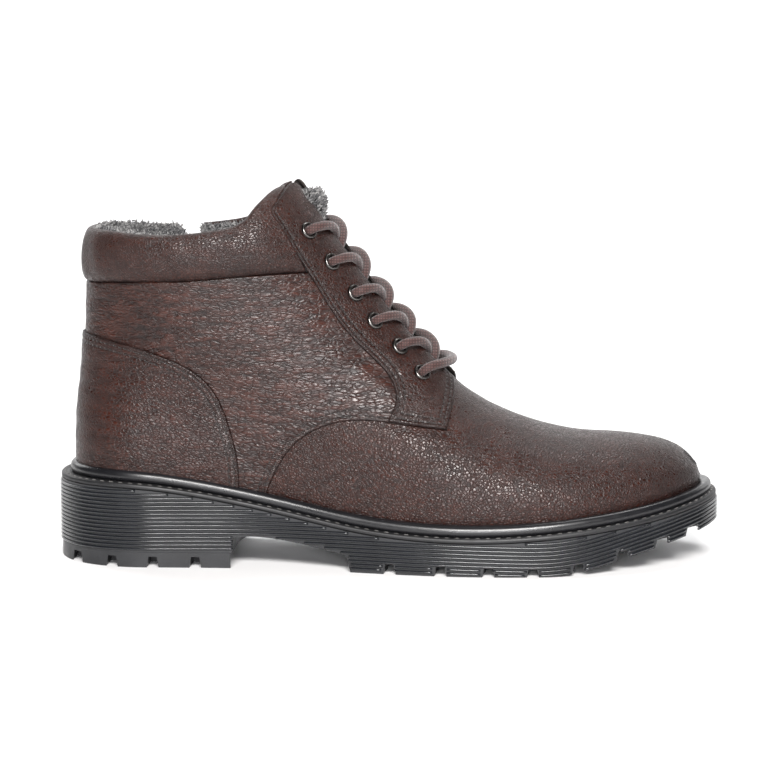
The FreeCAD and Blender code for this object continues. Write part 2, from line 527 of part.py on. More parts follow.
col_l = feature("collar_outer_blank", collar_solid(False))
col_m = feature("collar_inner_blank", collar_solid(True))
col_curves = [[(-44.9, 174.6), (-47.1, 171.9), (-49.9, 167.3), (-53.1, 162.2)], [(-53.1, 162.2), (-47.3, 153.2), (-40.8, 142.4), (-33.0, 129.9), (-23.9, 115.0)], [(-160, 115.0), (-160, 180)], [(-44.9, 180), (-44.9, 174.6)]]
cc_l = cutter("collar_outer", col_curves, -1)
final(common("collar_lateral", col_l, cc_l), "collar_lateral")
cc_m = cutter("collar_inner", col_curves, 1)
col_mw = common("collar_inner_whole", col_m, cc_m)
final(common("collar_medial_front", col_mw, zf), "collar_medial_front")
final(common("collar_medial_rear", col_mw, zr), "collar_medial_rear")

# ------------------------------------------------------------------ tongue


def lift(th, v):
    """How far the tongue rises towards the front at its top: more in the middle, between the two flaps."""
    side = 3.0 * smooth((v - 0.955) / 0.09)
    mid = 11.6 * smooth((v - 0.925) / 0.078)
    k = 1 - smooth((abs(th - 0.5) - 0.014) / 0.026)
    return side + (mid - side) * k


final(feature("tongue_face", skin(0.402, 0.598, 0.635, 1.032, lambda a, b: -7.2 + lift(a, b), lambda a, b: -6.1 + lift(a, b), 32, 34)), "tongue_face")
final(feature("tongue_fleece", skin(0.404, 0.596, 0.64, 1.030, lambda a, b: -10.2 + lift(a, b), lambda a, b: -7.3 + lift(a, b), 32, 34)), "tongue_fleece")
final(feature("tongue_root", skin(0.43, 0.57, 0.575, 0.627, -7.2, -5.6, 16, 4)), "tongue_root")

# ------------------------------------------------------------------ zip
PT = vec(surf(*locate(ZA[0], ZA[1], 1)))
PB = vec(surf(*locate(ZB[0], ZB[1], 1)))
ZT = (PB - PT)
ZLEN = ZT.Length
ZT = ZT * (1.0 / ZLEN)
n_mid = vec(normal(*locate((ZA[0] + ZB[0]) / 2, (ZA[1] + ZB[1]) / 2, 1)))
ZW = ZT.cross(n_mid)
ZW = ZW * (1.0 / ZW.Length)
if ZW.x < 0:
    ZW = ZW * -1
ZN = ZW.cross(ZT)
ZN = ZN * (1.0 / ZN.Length)
if ZN.y < 0:
    ZN = ZN * -1


def zgrid(w0, w1, d0, d1, z0, z1, n=18):
    """Strip along the zip between two widths and two offsets of the form."""
    def row(w, d):
        out = []
        for i in range(n + 1):
            z = z0 + (z1 - z0) * i / n
            th, v = locate(zline(z, w), z, 1)
            out.append(vec(off(th, v, d)))
        return out
    lines = [row(w0, d0), row(w1, d0), row(w1, d1), row(w0, d1)]
    edges = []
    for r in lines:
        c = Part.BSplineCurve()
        c.interpolate(r)
        edges.append(c.toShape())
    faces = [Part.makeRuledSurface(edges[k], edges[(k + 1) % 4]) for k in range(4)]
    for e in (0, -1):
        q = [lines[k][e] for k in range(4)]
        a = Part.LineSegment(q[0], q[1]).toShape()
        b = Part.LineSegment(q[3], q[2]).toShape()
        faces.append(Part.makeRuledSurface(a, b))
    shell = Part.Shell(faces)
    shell.sewShape()
    solid = Part.Solid(shell)
    if solid.Volume < 0:
        solid.reverse()
    return solid


ct, cg, cw = G["tape_thick"], G["coil_gap"], G["coil_wide"]
for s, nm in ((1, "front"), (-1, "rear")):
    a, b = sorted((s * (cg + 0.1), s * 14.0))
    final(feature("zip_tape_" + nm, zgrid(a, b, -0.1 - ct, -0.1, 59.5, 146.0)), "zip_tape_" + nm)
    a, b = sorted((s * cg, s * (cg + cw)))
    final(feature("zip_coil_" + nm, zgrid(a, b, 0.0, 1.7, 63.5, 142.6)), "zip_coil_" + nm)
stops = [zgrid(s * 1.6 - 1.5, s * 1.6 + 1.5, 0.0, 1.9, 143.0, 145.4, 4) for s in (-1.3, 1.3)]
final(feature("zip_stops", Part.makeCompound(stops + [zgrid(-3.4, 3.4, 0.0, 1.9, 60.4, 63.0, 4)])), "zip_stops")
final(feature("zip_guard", zgrid(-13.0, 13.0, LI0 - 2.4, LI0 - 0.4, 57.0, 146.0)), "zip_guard")

# the slider: two plates joined by a neck, with a bail on top for the pull tab
BASE_AT = PT + ZT * 12.5
ZROT = FreeCAD.Rotation(ZW * -1, ZT * -1, ZN)   # local x across the zip, y up it, z outward
BASE = FreeCAD.Placement(BASE_AT, ZROT)
L, W, PL = G["slider_long"], G["slider_wide"], G["plate"]


def pbox(name, sx, sy, sz, px, py, pz, exprs=None):
    o = doc.addObject("Part::Box", name)
    o.Length, o.Width, o.Height = sx, sy, sz
    for k, e in (exprs or {}).items():
        o.setExpression(k, e)
    o.Placement = BASE.multiply(FreeCAD.Placement(V(px, py, pz), FreeCAD.Rotation()))
    return o


doc.recompute()
topz = 2.3
bot = pbox("slider_bottom", W - 3.6, L - 1.0, PL, -(W - 3.6) / 2, -(L - 1) / 2, -1.8 - PL, {"Length": "sizes.slider_wide - 3.6", "Height": "sizes.plate"})
tpl = pbox("slider_top", W, L, PL, -W / 2, -L / 2, topz, {"Length": "sizes.slider_wide", "Width": "sizes.slider_long", "Height": "sizes.plate"})
neck = pbox("slider_neck", 0.8, 3.4, topz + 2.0 + 0.4, -0.4, L / 2 - 4.4, -2.0)
fl1 = pbox("slider_flange_a", 0.8, L - 3, 1.3, -W / 2, -(L - 3) / 2, topz - 1.2)
fl2 = pbox("slider_flange_b", 0.8, L - 3, 1.3, W / 2 - 0.8, -(L - 3) / 2, topz - 1.2)
post1 = pbox("bail_post_a", 1.2, 3.2, 3.8, -2.45, 0.6, topz + PL - 0.1)
post2 = pbox("bail_post_b", 1.2, 3.2, 3.8, 1.25, 0.6, topz + PL - 0.1)
pin = doc.addObject("Part::Cylinder", "bail_pin")
pin.Radius, pin.Height = 0.55, 4.9
pin.Placement = BASE.multiply(FreeCAD.Placement(V(-2.45, 2.2, topz + PL + 2.75), FreeCAD.Rotation(V(0, 1, 0), 90)))
final(fuse("zip_slider", [bot, tpl, neck, fl1, fl2, post1, post2, pin]), "zip_slider")

# the pull tab: a body drawn flat, with its eye round the bail's pin
pull = doc.addObject("PartDesign::Body", "zip_pull")
plane = [f for f in pull.Origin.OriginFeatures if getattr(f, "Role", "") == "XY_Plane"][0]
sk = pull.newObject("Sketcher::SketchObject", "pull_outline")
sk.AttachmentSupport = [(plane, "")]
sk.MapMode = "FlatFace"
PW, PLN = G["pull_wide"] / 2, G["pull_long"]
pts = [V(-0.85, 1.6, 0), V(0.85, 1.6, 0), V(0.85, -3.6, 0), V(PW, -6.4, 0), V(PW, -PLN + 1.5, 0), V(PW - 1.5, -PLN, 0), V(-PW + 1.5, -PLN, 0), V(-PW, -PLN + 1.5, 0), V(-PW, -6.4, 0), V(-0.85, -3.6, 0)]
for i in range(len(pts)):
    sk.addGeometry(Part.LineSegment(pts[i], pts[(i + 1) % len(pts)]))
pad = pull.newObject("PartDesign::Pad", "pull_pad")
pad.Profile = sk
pad.Midplane = True
pad.setExpression("Length", "sizes.pull_thick")
sk4 = pull.newObject("Sketcher::SketchObject", "pull_knuckle")
sk4.AttachmentSupport = [(plane, "")]
sk4.MapMode = "FlatFace"
q4 = [V(-0.85, 1.6, 0), V(0.85, 1.6, 0), V(0.85, -1.6, 0), V(-0.85, -1.6, 0)]
for i in range(4):
    sk4.addGeometry(Part.LineSegment(q4[i], q4[(i + 1) % 4]))
pad2 = pull.newObject("PartDesign::Pad", "knuckle_pad")
pad2.Profile = sk4
pad2.Midplane = True
pad2.setExpression("Length", "sizes.pull_thick * 2")
doc.recompute()
yz = [f for f in pull.Origin.OriginFeatures if getattr(f, "Role", "") == "YZ_Plane"][0]
sk2 = pull.newObject("Sketcher::SketchObject", "pull_eye")
sk2.AttachmentSupport = [(yz, "")]
sk2.MapMode = "FlatFace"
sk2.addGeometry([Part.LineSegment(V(0.95, 0.95, 0), V(-0.95, 0.95, 0)), Part.LineSegment(V(-0.95, 0.95, 0), V(-0.95, -0.95, 0)), Part.LineSegment(V(-0.95, -0.95, 0), V(0.95, -0.95, 0)), Part.LineSegment(V(0.95, -0.95, 0), V(0.95, 0.95, 0))])
eye = pull.newObject("PartDesign::Pocket", "pull_eye_cut")
eye.Profile = sk2
eye.Midplane = True
eye.Length = 12
sk3 = pull.newObject("Sketcher::SketchObject", "pull_slot")
sk3.AttachmentSupport = [(plane, "")]
sk3.MapMode = "FlatFace"
sk3.addGeometry([Part.LineSegment(V(-1.6, -9.5, 0), V(1.6, -9.5, 0)), Part.LineSegment(V(1.6, -9.5, 0), V(1.6, -19.5, 0)), Part.LineSegment(V(1.6, -19.5, 0), V(-1.6, -19.5, 0)), Part.LineSegment(V(-1.6, -19.5, 0), V(-1.6, -9.5, 0))])
slot = pull.newObject("PartDesign::Pocket", "pull_slot_cut")
slot.Profile = sk3
slot.Midplane = True
slot.Length = 12
pull.Tip = slot
pull.Placement = BASE.multiply(FreeCAD.Placement(V(0, 2.2, topz + PL + 2.75), FreeCAD.Rotation()))
final(pull, "zip_pull")
PIN_AT = BASE.multVec(V(0, 2.2, topz + PL + 2.75))

# ------------------------------------------------------------------ sole
def ledge_out(th):
    """How far the sole stands out from the form: more round the heel, where the leather is thicker."""
    a = abs(((th + 0.5) % 1.0) - 0.5)
    return 8.2 + 1.8 * (1 - smooth((a - 0.10) / 0.10))


RING = []
for i in range(56):
    th = i / 56
    p, q = surf(th, 0.0), normal(th, 0.03)
    k = math.hypot(q[0], q[1])
    RING.append((p[0] + q[0] / k * ledge_out(th), p[1] + q[1] / k * ledge_out(th)))


def edge_y(x, side):
    """Y of the sole's outline at x, on the outer (-1) or inner (1) side."""
    pts = RING[:29] if side < 0 else RING[28:] + RING[:1]
    for k in range(len(pts) - 1):
        (xa, ya), (xb, yb) = pts[k], pts[k + 1]
        if min(xa, xb) <= x <= max(xa, xb) and xa != xb:
            return ya + (yb - ya) * (x - xa) / (xb - xa)
    return 0.0


def plan(inset):
    """Closed outline of the sole, inset towards its middle."""
    pts = RING
    k = len(pts)
    out = []
    for i in range(k):
        a, b = pts[i - 1], pts[(i + 1) % k]
        tx, ty = b[0] - a[0], b[1] - a[1]
        q = math.hypot(tx, ty)
        out.append(V(pts[i][0] - ty / q * inset, pts[i][1] + tx / q * inset, 0))
    c = Part.BSplineCurve()
    c.interpolate(out, PeriodicFlag=True)
    return Part.Wire(c.toShape())


def plan_prism(name, inset, z0, z1):
    f = Part.Face(plan(inset))
    f.translate(V(0, 0, z0))
    base = feature(name + "_plan", f)
    ex = doc.addObject("Part::Extrusion", name + "_block")
    ex.Base = base
    ex.DirMode = "Custom"
    ex.Dir = V(0, 0, 1)
    ex.LengthFwd = z1 - z0
    ex.Solid = True
    return ex


def band(name, lo, hi, x0=-170, x1=170):
    """Everything between two heights over the feather line, across the boot."""
    xs = [x0 + (x1 - x0) * i / 24 for i in range(25)]
    a = [(x, ev(Z0, x) + lo) for x in xs]
    b = [(x, ev(Z0, x) + hi) for x in reversed(xs)]
    return cutter(name, [a, [a[-1], b[0]], b, [b[-1], a[0]]], 0)


full = plan_prism("sole", 0.0, -5, 70)
inner = plan_prism("welt_inner", 11.5, -5, 70)
ledge = common("welt_blank", full, band("welt_band", -G["ledge_thick"], 0.0))
final(cut("welt", ledge, inner), "welt")
cork_plan = plan_prism("cork", 12.0, -5, 70)
cork_blank = common("cork_blank", cork_plan, band("cork_band", -G["cork"] - 0.2, -0.2))
shank_y = -1.0
sh_band = band("shank_band", -1.8, -0.6, -120, -10)
sh_box = doc.addObject("Part::Box", "shank_blank")
sh_box.setExpression("Length", "sizes.shank_long")
sh_box.setExpression("Width", "sizes.shank_wide")
sh_box.Height = 60
sh_box.Placement = FreeCAD.Placement(V(-112, -8, 0), FreeCAD.Rotation())
final(common("shank", sh_band, sh_box), "shank")
slot_box = doc.addObject("Part::Box", "shank_slot")
slot_box.Length, slot_box.Width, slot_box.Height = 97, 15, 60
slot_box.Placement = FreeCAD.Placement(V(-112.5, -8.5, 0), FreeCAD.Rotation())
slot_solid = common("shank_slot_solid", band("shank_slot_band", -3.0, 1.0, -120, -10), slot_box)
final(cut("cork_filler", cork_blank, slot_solid), "cork_filler")

BOTTOM = [(-170, 0.0), (-69.0, 0.0)]
waist = [(-69.0, 0.0), (-68.6, 9.0), (-68.0, 14.5), (-60.0, 15.0), (-40, 12.6), (-24, 9.2), (-17.0, 7.2), (-15.6, 5.4), (-14.6, 0.3)]
tread = [(-14.6, 0.0), (75, 0.0), (86, 1.4), (97, 3.8), (110, 7.2), (122, 10.2), (136, 13.4), (146, 15.6), (152, 17.2), (170, 21)]
sole_top = [(x, ev(Z0, x) - G["ledge_thick"] - 0.1) for x in [170 - 340 * i / 26 for i in range(27)]]
side_curves = [[(-170, G["heel_lift"] + 0.1), (-69.0, G["heel_lift"] + 0.1)], [(-69.0, G["heel_lift"] + 0.1), (-68.7, 14.3)], [(-68.7, 14.3), (-60.0, 14.8), (-40, 12.6), (-24, 9.4), (-16.5, 7.4)], [(-16.5, 7.4), (-14.6, 0.0)], [(-14.6, 0.0), (75, 0.0)], [(75, 0.0), (86, 1.2), (97, 3.6), (110, 7.0), (122, 10.0), (136, 13.4), (146, 15.8), (152, 17.3), (170, 22)], [(170, 22), sole_top[0]], sole_top]
side = cutter("outsole_side", side_curves, 0)
out_blank = common("outsole_blank", full, side)
HN = [-142.0, -124.5, -105.5, -86.0]
FN = [3.0, 26.0, 47.5, 67.5, 88.0, 108.0, 126.0, 140.5]


def notch(x, z, wide, tall, y0, y1, skew):
    """Trapezoid groove that runs in from the side."""
    a, b = wide * 0.36, wide * 0.62
    f = Part.Face(Part.makePolygon([V(x - b, y0, z - 3), V(x + b, y0, z - 3), V(x + a, y0, z + tall), V(x - a, y0, z + tall), V(x - b, y0, z - 3)]))
    return f.extrude(V(skew, y1 - y0, 0))


def zb(x):
    return ev(TREADZ, x)


TREADZ = spline_table([(-160, 0), (60, 0), (75, 0.0), (86, 1.2), (97, 3.6), (110, 7.0), (122, 10.0), (136, 13.4), (146, 15.8), (152, 17.3), (170, 22)])
LD = G["lug_depth"]
grooves = []
for i, x in enumerate(FN):
    edge_l, edge_m = edge_y(x, -1), edge_y(x, 1)
    grooves.append(notch(x, max(0.0, zb(x)), 5.4, LD * 0.8, edge_l - 3, edge_l + 15, 2.0))
    grooves.append(notch(x, max(0.0, zb(x)), 5.4, LD * 0.8, edge_m - 15, edge_m + 3, -2.0))
mid = plan_prism("tread_mid", 13.0, -5, 60)
mid_side = cutter("tread_mid_band", [[(-10.5, -2), (-10.5, LD * 0.8)], [(-10.5, LD * 0.8), (70, LD * 0.8)], [(70, LD * 0.8), (86, 1.2 + LD * 0.8), (97, 3.6 + LD * 0.8), (110, 7 + LD * 0.8), (122, 10 + LD * 0.8), (132, 12.4 + LD * 0.8)], [(132, -2), (-10.5, -2)]], 0)
mid_cut = common("tread_pocket", mid, mid_side)
bars = []
for i in range(9):
    x = 0.5 + i * 14.2
    zc = max(0.0, zb(x))
    yc = ev(YC, x)
    hw = 17.0 if i < 7 else 12.0
    poly = [V(x - 4.4, yc - hw, -2), V(x + 0.6, yc, -2), V(x - 4.4, yc + hw, -2), V(x + 1.8, yc + hw, -2), V(x + 6.8, yc, -2), V(x + 1.8, yc - hw, -2), V(x - 4.4, yc - hw, -2)]
    bars.append(Part.Face(Part.makePolygon(poly)).extrude(V(0, 0, 30)))
bar_f = feature("tread_bars", Part.makeCompound(bars))
mid_net = cut("tread_recess", mid_cut, bar_f)
notches_f = feature("tread_notches", Part.makeCompound(grooves))
sole_a = cut("outsole_pocketed", out_blank, mid_net)
sole_b = cut("outsole_notched", sole_a, notches_f)
breast = doc.addObject("Part::Cylinder", "heel_breast")
breast.Radius, breast.Height = 150, 40
breast.Placement = FreeCAD.Placement(V(-75.0 + 150.0, -1, -25.6), FreeCAD.Rotation())
final(sole_b, "outsole")

lift_side = cutter("heel_lift_side", [[(-170, 0), (-69.0, 0)], [(-69.0, G["heel_lift"]), (-170, G["heel_lift"])]], 0)
lift_blank = common("heel_lift_blank", full, lift_side)
hgro = []
for x in HN:
    el, em = edge_y(x, -1), edge_y(x, 1)
    hgro.append(notch(x, 0.0, 5.2, LD, el - 4, el + 14, 0))
    hgro.append(notch(x, 0.0, 5.2, LD, em - 14, em + 4, 0))
for x, hw in ((-133, 9), (-115, 17), (-95.5, 17)):
    hgro.append(notch(x, 0.0, 4.6, LD * 0.6, -hw, hw, 0))
lift_b = cut("heel_lift_notched", lift_blank, feature("heel_notches", Part.makeCompound(hgro)))
final(cut("heel_top_lift", lift_b, breast), "heel_top_lift")

# rand: a bead round the foot of the upper
NR = 72


def rand_in(th):
    a = abs(((th + 0.5) % 1.0) - 0.5)
    lim = 0.1755 if (th % 1.0) < 0.5 else 0.147
    k = 1 - smooth((a - lim - 0.004) / 0.03)
    k2 = 1 - smooth((a - 0.205) / 0.03)
    return 0.25 + 1.3 * k + 1.3 * k2


def rand_curve(dd, hh, inner=False):
    pts = []
    for i in range(NR):
        th = i / NR
        v = hh / 140.0
        p = surf(th, 0.0)
        n = normal(th, 0.03)
        q = math.hypot(n[0], n[1])
        d = dd + (rand_in(th) if inner else 0.0)
        pts.append(V(p[0] + n[0] / q * d + (surf(th, 0.06 * hh / 8.0)[0] - p[0]), p[1] + n[1] / q * d + (surf(th, 0.06 * hh / 8.0)[1] - p[1]), 0))
        pts[-1].z = ev(Z0, pts[-1].x) + hh
    c = Part.BSplineCurve()
    c.interpolate(pts, PeriodicFlag=True)
    return c.toShape()


B = G["bead"]
rc = [rand_curve(0.0, 0.12, True), rand_curve(4.6, 0.12), rand_curve(5.3, 1.2), rand_curve(5.3, 2.8), rand_curve(4.7, 4.1), rand_curve(3.8, 4.9), rand_curve(0.0, B, True)]
rf = [Part.makeRuledSurface(rc[k], rc[(k + 1) % len(rc)]) for k in range(len(rc))]
rsh = Part.Shell(rf)
rsh.sewShape()
rsol = Part.Solid(rsh)
if rsol.Volume < 0:
    rsol.reverse()
final(feature("rand", rsol), "rand")

# insole board and footbed, cut to the inside of the lining


def inside_plan(name, inset, hh, z0=-5, z1=90):
    pts = []
    for i in range(60):
        th = i / 60
        p = surf(th, 0.05)
        n = normal(th, 0.05)
        q = math.hypot(n[0], n[1])
        pts.append(V(p[0] - n[0] / q * inset, p[1] - n[1] / q * inset, z0))
    c = Part.BSplineCurve()
    c.interpolate(pts, PeriodicFlag=True)
    base = feature(name + "_plan", Part.Face(Part.Wire(c.toShape())))
    ex = doc.addObject("Part::Extrusion", name + "_block")
    ex.Base = base
    ex.DirMode = "Custom"
    ex.Dir = V(0, 0, 1)
    ex.LengthFwd = z1 - z0
    ex.Solid = True
    return ex


b0 = 0.3
bd = G["board"]
final(common("insole_board", inside_plan("board", 8.4, 0), band("board_band", b0, b0 + bd)), "insole_board")
final(common("footbed", inside_plan("bed", 11.6, 0), band("bed_band", b0 + bd + 0.3, b0 + bd + 0.3 + G["bed"])), "footbed")

# ------------------------------------------------------------------ lace
r_l = G["lace_dia"] / 2


def side_th(th, s):
    return th if s < 0 else 1 - th


UNDER, OVER = -3.15, 6.1


def strand(s, i):
    """Points from eyelet i on side s to eyelet i + 1 on the other side, without the holes' own points."""
    (t0, v0), (t1, v1) = EYES[i], EYES[i + 1]
    dv = v1 - v0
    hi = 3.3 if s > 0 else -1.0
    return [off(side_th(0.4640, s), v0 + dv * 0.15, 6.95),
            off(side_th(0.5, s), v0 + dv * 0.5, hi),
            off(side_th(0.459, -s), v0 + dv * 0.84, -2.7)]


def hole(s, i, inward):
    th, v = EYES[i]
    a, b = off(side_th(th, s), v, OVER), off(side_th(th, s), v, UNDER)
    return [a, b] if inward else [b, a]


def tail(s):
    th, v = EYES[0]
    return [off(side_th(0.4085, s), v - 0.030, -3.2), off(side_th(0.4065, s), v - 0.070, -3.3), off(side_th(0.4065, s), v - 0.112, -3.3)]


def run_down(s):
    pts = []
    for i in range(5):
        pts += strand(s, i)
        s = -s
        pts += hole(s, i + 1, False)
    return pts, s


left, s_end = run_down(-1)
right, s_end2 = run_down(1)
bar_mid = [off(side_th(0.452, s_end), EYES[5][1] - 0.002, 7.6), off(0.5, EYES[5][1] - 0.004, 6.6), off(side_th(0.452, s_end2), EYES[5][1] - 0.002, 7.6)]
p6, p6b = off(side_th(EYES[5][0], s_end), EYES[5][1], OVER), off(side_th(EYES[5][0], s_end2), EYES[5][1], OVER)
route = list(reversed(tail(-1))) + list(reversed(hole(-1, 0, True))) + left + bar_mid + list(reversed(right)) + hole(1, 0, True) + tail(1)
LACE_ROUTE = route


def rounded(points):
    """Straight runs joined by tangent arcs."""
    P = [vec(p) for p in points]
    edges, last, radii, length = [], P[0], [], 0.0
    for i in range(1, len(P) - 1):
        a, b = P[i - 1] - P[i], P[i + 1] - P[i]
        la, lb = a.Length, b.Length
        a.normalize()
        b.normalize()
        turn = math.pi - a.getAngle(b)
        cutl = 0.45 * min(la, lb)
        rad = cutl / math.tan(turn / 2)
        radii.append(rad)
        p0, p1 = P[i] + a * cutl, P[i] + b * cutl
        mid_dir = (a + b)
        mid_dir.normalize()
        cen = P[i] + mid_dir * math.hypot(cutl, rad)
        pm = cen - mid_dir * rad
        edges.append(Part.LineSegment(last, p0).toShape())
        edges.append(Part.Arc(p0, pm, p1).toShape())
        last = p1
    edges.append(Part.LineSegment(last, P[-1]).toShape())
    return edges, radii


edges, radii = rounded(route)
solids = []
for e in edges:
    p, t = e.valueAt(e.FirstParameter), e.tangentAt(e.FirstParameter)
    if e.Curve.TypeId == "Part::GeomLine":
        solids.append(Part.makeCylinder(r_l, e.Length, p, t))
    else:
        face = Part.Face(Part.Wire(Part.makeCircle(r_l, p, t)))
        c = e.Curve
        ax = c.Axis
        ang = math.degrees(e.LastParameter - e.FirstParameter)
        sol = face.revolve(c.Center, ax, ang)
        if sol.isNull() or not sol.isValid():
            print("lace arc failed")
        mid = e.valueAt((e.FirstParameter + e.LastParameter) / 2)
        if not sol.isInside(mid, 0.01, True):
            sol = face.revolve(c.Center, ax, -ang)
        solids.append(sol)
lace_len = sum(e.Length for e in edges)
lace_vol = sum(q.Volume for q in solids)
print("lace length %.1f, volume %.1f against %.1f, radii %.1f to %.1f, points %d" % (lace_len, lace_vol, math.pi * r_l ** 2 * lace_len, min(radii), max(radii), len(route)))
print("radii", " ".join("%.1f" % q for q in radii))
try:
    wire = Part.Wire(edges)
    prof = Part.Wire(Part.makeCircle(r_l, edges[0].valueAt(edges[0].FirstParameter), edges[0].tangentAt(edges[0].FirstParameter)))
    tube = wire.makePipeShell([prof], True, False)
    ok = tube.isValid() and abs(tube.Volume / lace_vol - 1) < 0.01
    print("one tube", tube.isValid(), tube.Volume, tube.ShapeType)
except Exception as err:
    ok = False
    print("one tube failed", err)
final(feature("lace", tube if ok else Part.makeCompound(solids)), "lace")
tips = []
for e, at_end in ((edges[0], False), (edges[-1], True)):
    p = e.valueAt(e.LastParameter if at_end else e.FirstParameter)
    t = e.tangentAt(e.LastParameter if at_end else e.FirstParameter)
    t = t if at_end else t * -1
    tips.append(Part.makeCylinder(G["tip_dia"] / 2, G["tip_long"], p, t))
final(feature("lace_tips", Part.makeCompound(tips)), "lace_tips")

# ------------------------------------------------------------------ recompute, check and write
doc.recompute()
bad = []
for o in doc.Objects:
    if any(w in o.State for w in ("Invalid", "Error")):
        bad.append((o.Name, o.State))
for o, name in FINAL:
    sh = o.Shape
    if sh.isNull() or not sh.isValid() or not sh.Solids or sh.Volume <= 0:
        bad.append((name, "null" if sh.isNull() else "valid %s solids %d" % (sh.isValid(), len(sh.Solids))))
print("tongue hinge", off(0.5, 0.632, -7.0))
print("zip top", tuple(round(q, 3) for q in PT), "dir", tuple(round(q, 4) for q in ZT), "width", tuple(round(q, 4) for q in ZW), "out", tuple(round(q, 4) for q in ZN), "slider at", tuple(round(q, 3) for q in BASE_AT), "pin", tuple(round(q, 3) for q in PIN_AT), "len", round(ZLEN, 2))
for o, name in FINAL:
    if o.Shape.isNull() or not o.Shape.Solids:
        continue
    b = o.Shape.optimalBoundingBox(False, False)
    print("%-24s solids %2d vol %9.1f  x %.1f %.1f y %.1f %.1f z %.1f %.1f" % (name, len(o.Shape.Solids), o.Shape.Volume, b.XMin, b.XMax, b.YMin, b.YMax, b.ZMin, b.ZMax))
if bad:
    raise SystemExit("not written: " + repr(bad))
for o, name in FINAL:
    o.Shape.exportStep("parts/%s.step" % name)
print("written", len(FINAL))
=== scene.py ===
import math
import random
import bpy
import numpy as np
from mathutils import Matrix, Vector
from mathutils.geometry import delaunay_2d_cdt


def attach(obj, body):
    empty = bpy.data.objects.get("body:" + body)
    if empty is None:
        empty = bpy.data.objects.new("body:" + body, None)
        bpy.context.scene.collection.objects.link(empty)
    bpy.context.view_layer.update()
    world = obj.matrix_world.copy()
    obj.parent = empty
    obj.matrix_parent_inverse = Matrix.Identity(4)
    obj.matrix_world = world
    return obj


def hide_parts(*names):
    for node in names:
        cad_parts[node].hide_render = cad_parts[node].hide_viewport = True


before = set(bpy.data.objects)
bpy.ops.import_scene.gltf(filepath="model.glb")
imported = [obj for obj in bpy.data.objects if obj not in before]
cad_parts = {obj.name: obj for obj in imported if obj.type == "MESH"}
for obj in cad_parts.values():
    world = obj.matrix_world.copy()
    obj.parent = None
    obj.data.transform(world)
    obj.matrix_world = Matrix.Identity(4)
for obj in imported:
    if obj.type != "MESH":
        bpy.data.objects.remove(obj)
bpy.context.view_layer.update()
RNG = np.random.default_rng(7)
MM = 0.001

# ---------------------------------------------------------------- camera
scene = bpy.context.scene
CAM_AT = Vector((math.sin(math.radians(3.0)) * 1.2, -math.cos(math.radians(3.0)) * 1.2, 0.24))
CAM_TO = Vector((0.0, 0.0, 0.078))
cam_data = bpy.data.cameras.new("camera")
cam = bpy.data.objects.new("camera", cam_data)
scene.collection.objects.link(cam)
cam.location = CAM_AT
cam.rotation_mode = "QUATERNION"
cam.rotation_quaternion = (CAM_TO - CAM_AT).to_track_quat("-Z", "Y")
cam_data.sensor_width = 36.0
cam_data.lens = (CAM_TO - CAM_AT).length / 0.000466 / 776 * 36.0
cam_data.clip_start, cam_data.clip_end = 0.05, 50
scene.camera = cam
scene.view_settings.view_transform = "Standard"
scene.view_settings.look = "None"


# ---------------------------------------------------------------- form of the boot, the same as the CAD's, in millimetres
def spline_table(pts, n=1200):
    xs = [float(p[0]) for p in pts]
    ys = [float(p[1]) for p in pts]
    k = len(xs) - 1
    hh = [xs[i + 1] - xs[i] for i in range(k)]
    al = [0.0] + [3 * ((ys[i + 1] - ys[i]) / hh[i] - (ys[i] - ys[i - 1]) / hh[i - 1]) for i in range(1, k)]
    l, mu, zz = [1.0] + [0.0] * k, [0.0] * (k + 1), [0.0] * (k + 1)
    for i in range(1, k):
        l[i] = 2 * (xs[i + 1] - xs[i - 1]) - hh[i - 1] * mu[i - 1]
        mu[i] = hh[i] / l[i]
        zz[i] = (al[i] - hh[i - 1] * zz[i - 1]) / l[i]
    c = [0.0] * (k + 1)
    for j in range(k - 1, -1, -1):
        c[j] = zz[j] - mu[j] * c[j + 1]
    out, i = [], 0
    for q in range(n + 1):
        x = xs[0] + (xs[-1] - xs[0]) * q / n
        while i < k - 1 and x > xs[i + 1]:
            i += 1
        d = (c[i + 1] - c[i]) / (3 * hh[i])
        b = (ys[i + 1] - ys[i]) / hh[i] - hh[i] * (c[i + 1] + 2 * c[i]) / 3
        t = x - xs[i]
        out.append(ys[i] + b * t + c[i] * t * t + d * t ** 3)
    return (np.linspace(xs[0], xs[-1], n + 1), np.array(out))


def ev(tab, x):
    return np.interp(x, tab[0], tab[1])


def smooth(t):
    t = np.clip(t, 0.0, 1.0)
    return t * t * (3 - 2 * t)


Z0 = spline_table([(-160, 39.2), (-125, 38.9), (-110, 38.2), (-95, 36.4), (-73, 32.7), (-51, 28.3), (-30, 23.9), (-12, 20.6), (8, 18.4), (40, 17.3), (71, 18.7), (103, 22.0), (125, 25.2), (145, 29.4), (160, 33.0)])
ZR = spline_table([(-50, 187), (-42, 174.5), (-33, 161), (-22, 145.8), (-10, 129.6), (0, 117), (10, 105.2), (20, 94.4), (28, 86.2), (34, 80.6), (43, 74.1), (52.2, 69.2), (61.5, 65.3), (70.8, 62.2), (80.2, 59.9), (89.5, 58.4), (98.8, 57.5), (108, 56.8), (115, 56.1), (122, 55.1), (128, 53.7), (133.5, 51.5), (138, 48.8), (141.5, 45.7), (144, 42.2), (145.7, 37.5)], 4000)
YC = spline_table([(-150, 0), (-100, 0), (-50, -1.2), (0, -1.8), (40, -0.6), (80, 2.2), (120, 6.4), (150, 9.0)])
WL = spline_table([(-150, 30.6), (-115, 30.8), (-85, 30.8), (-60, 31.2), (-30, 34.0), (0, 39.6), (30, 45.0), (52, 46.8), (75, 46.6), (100, 44.6), (125, 41.5), (150, 38)])
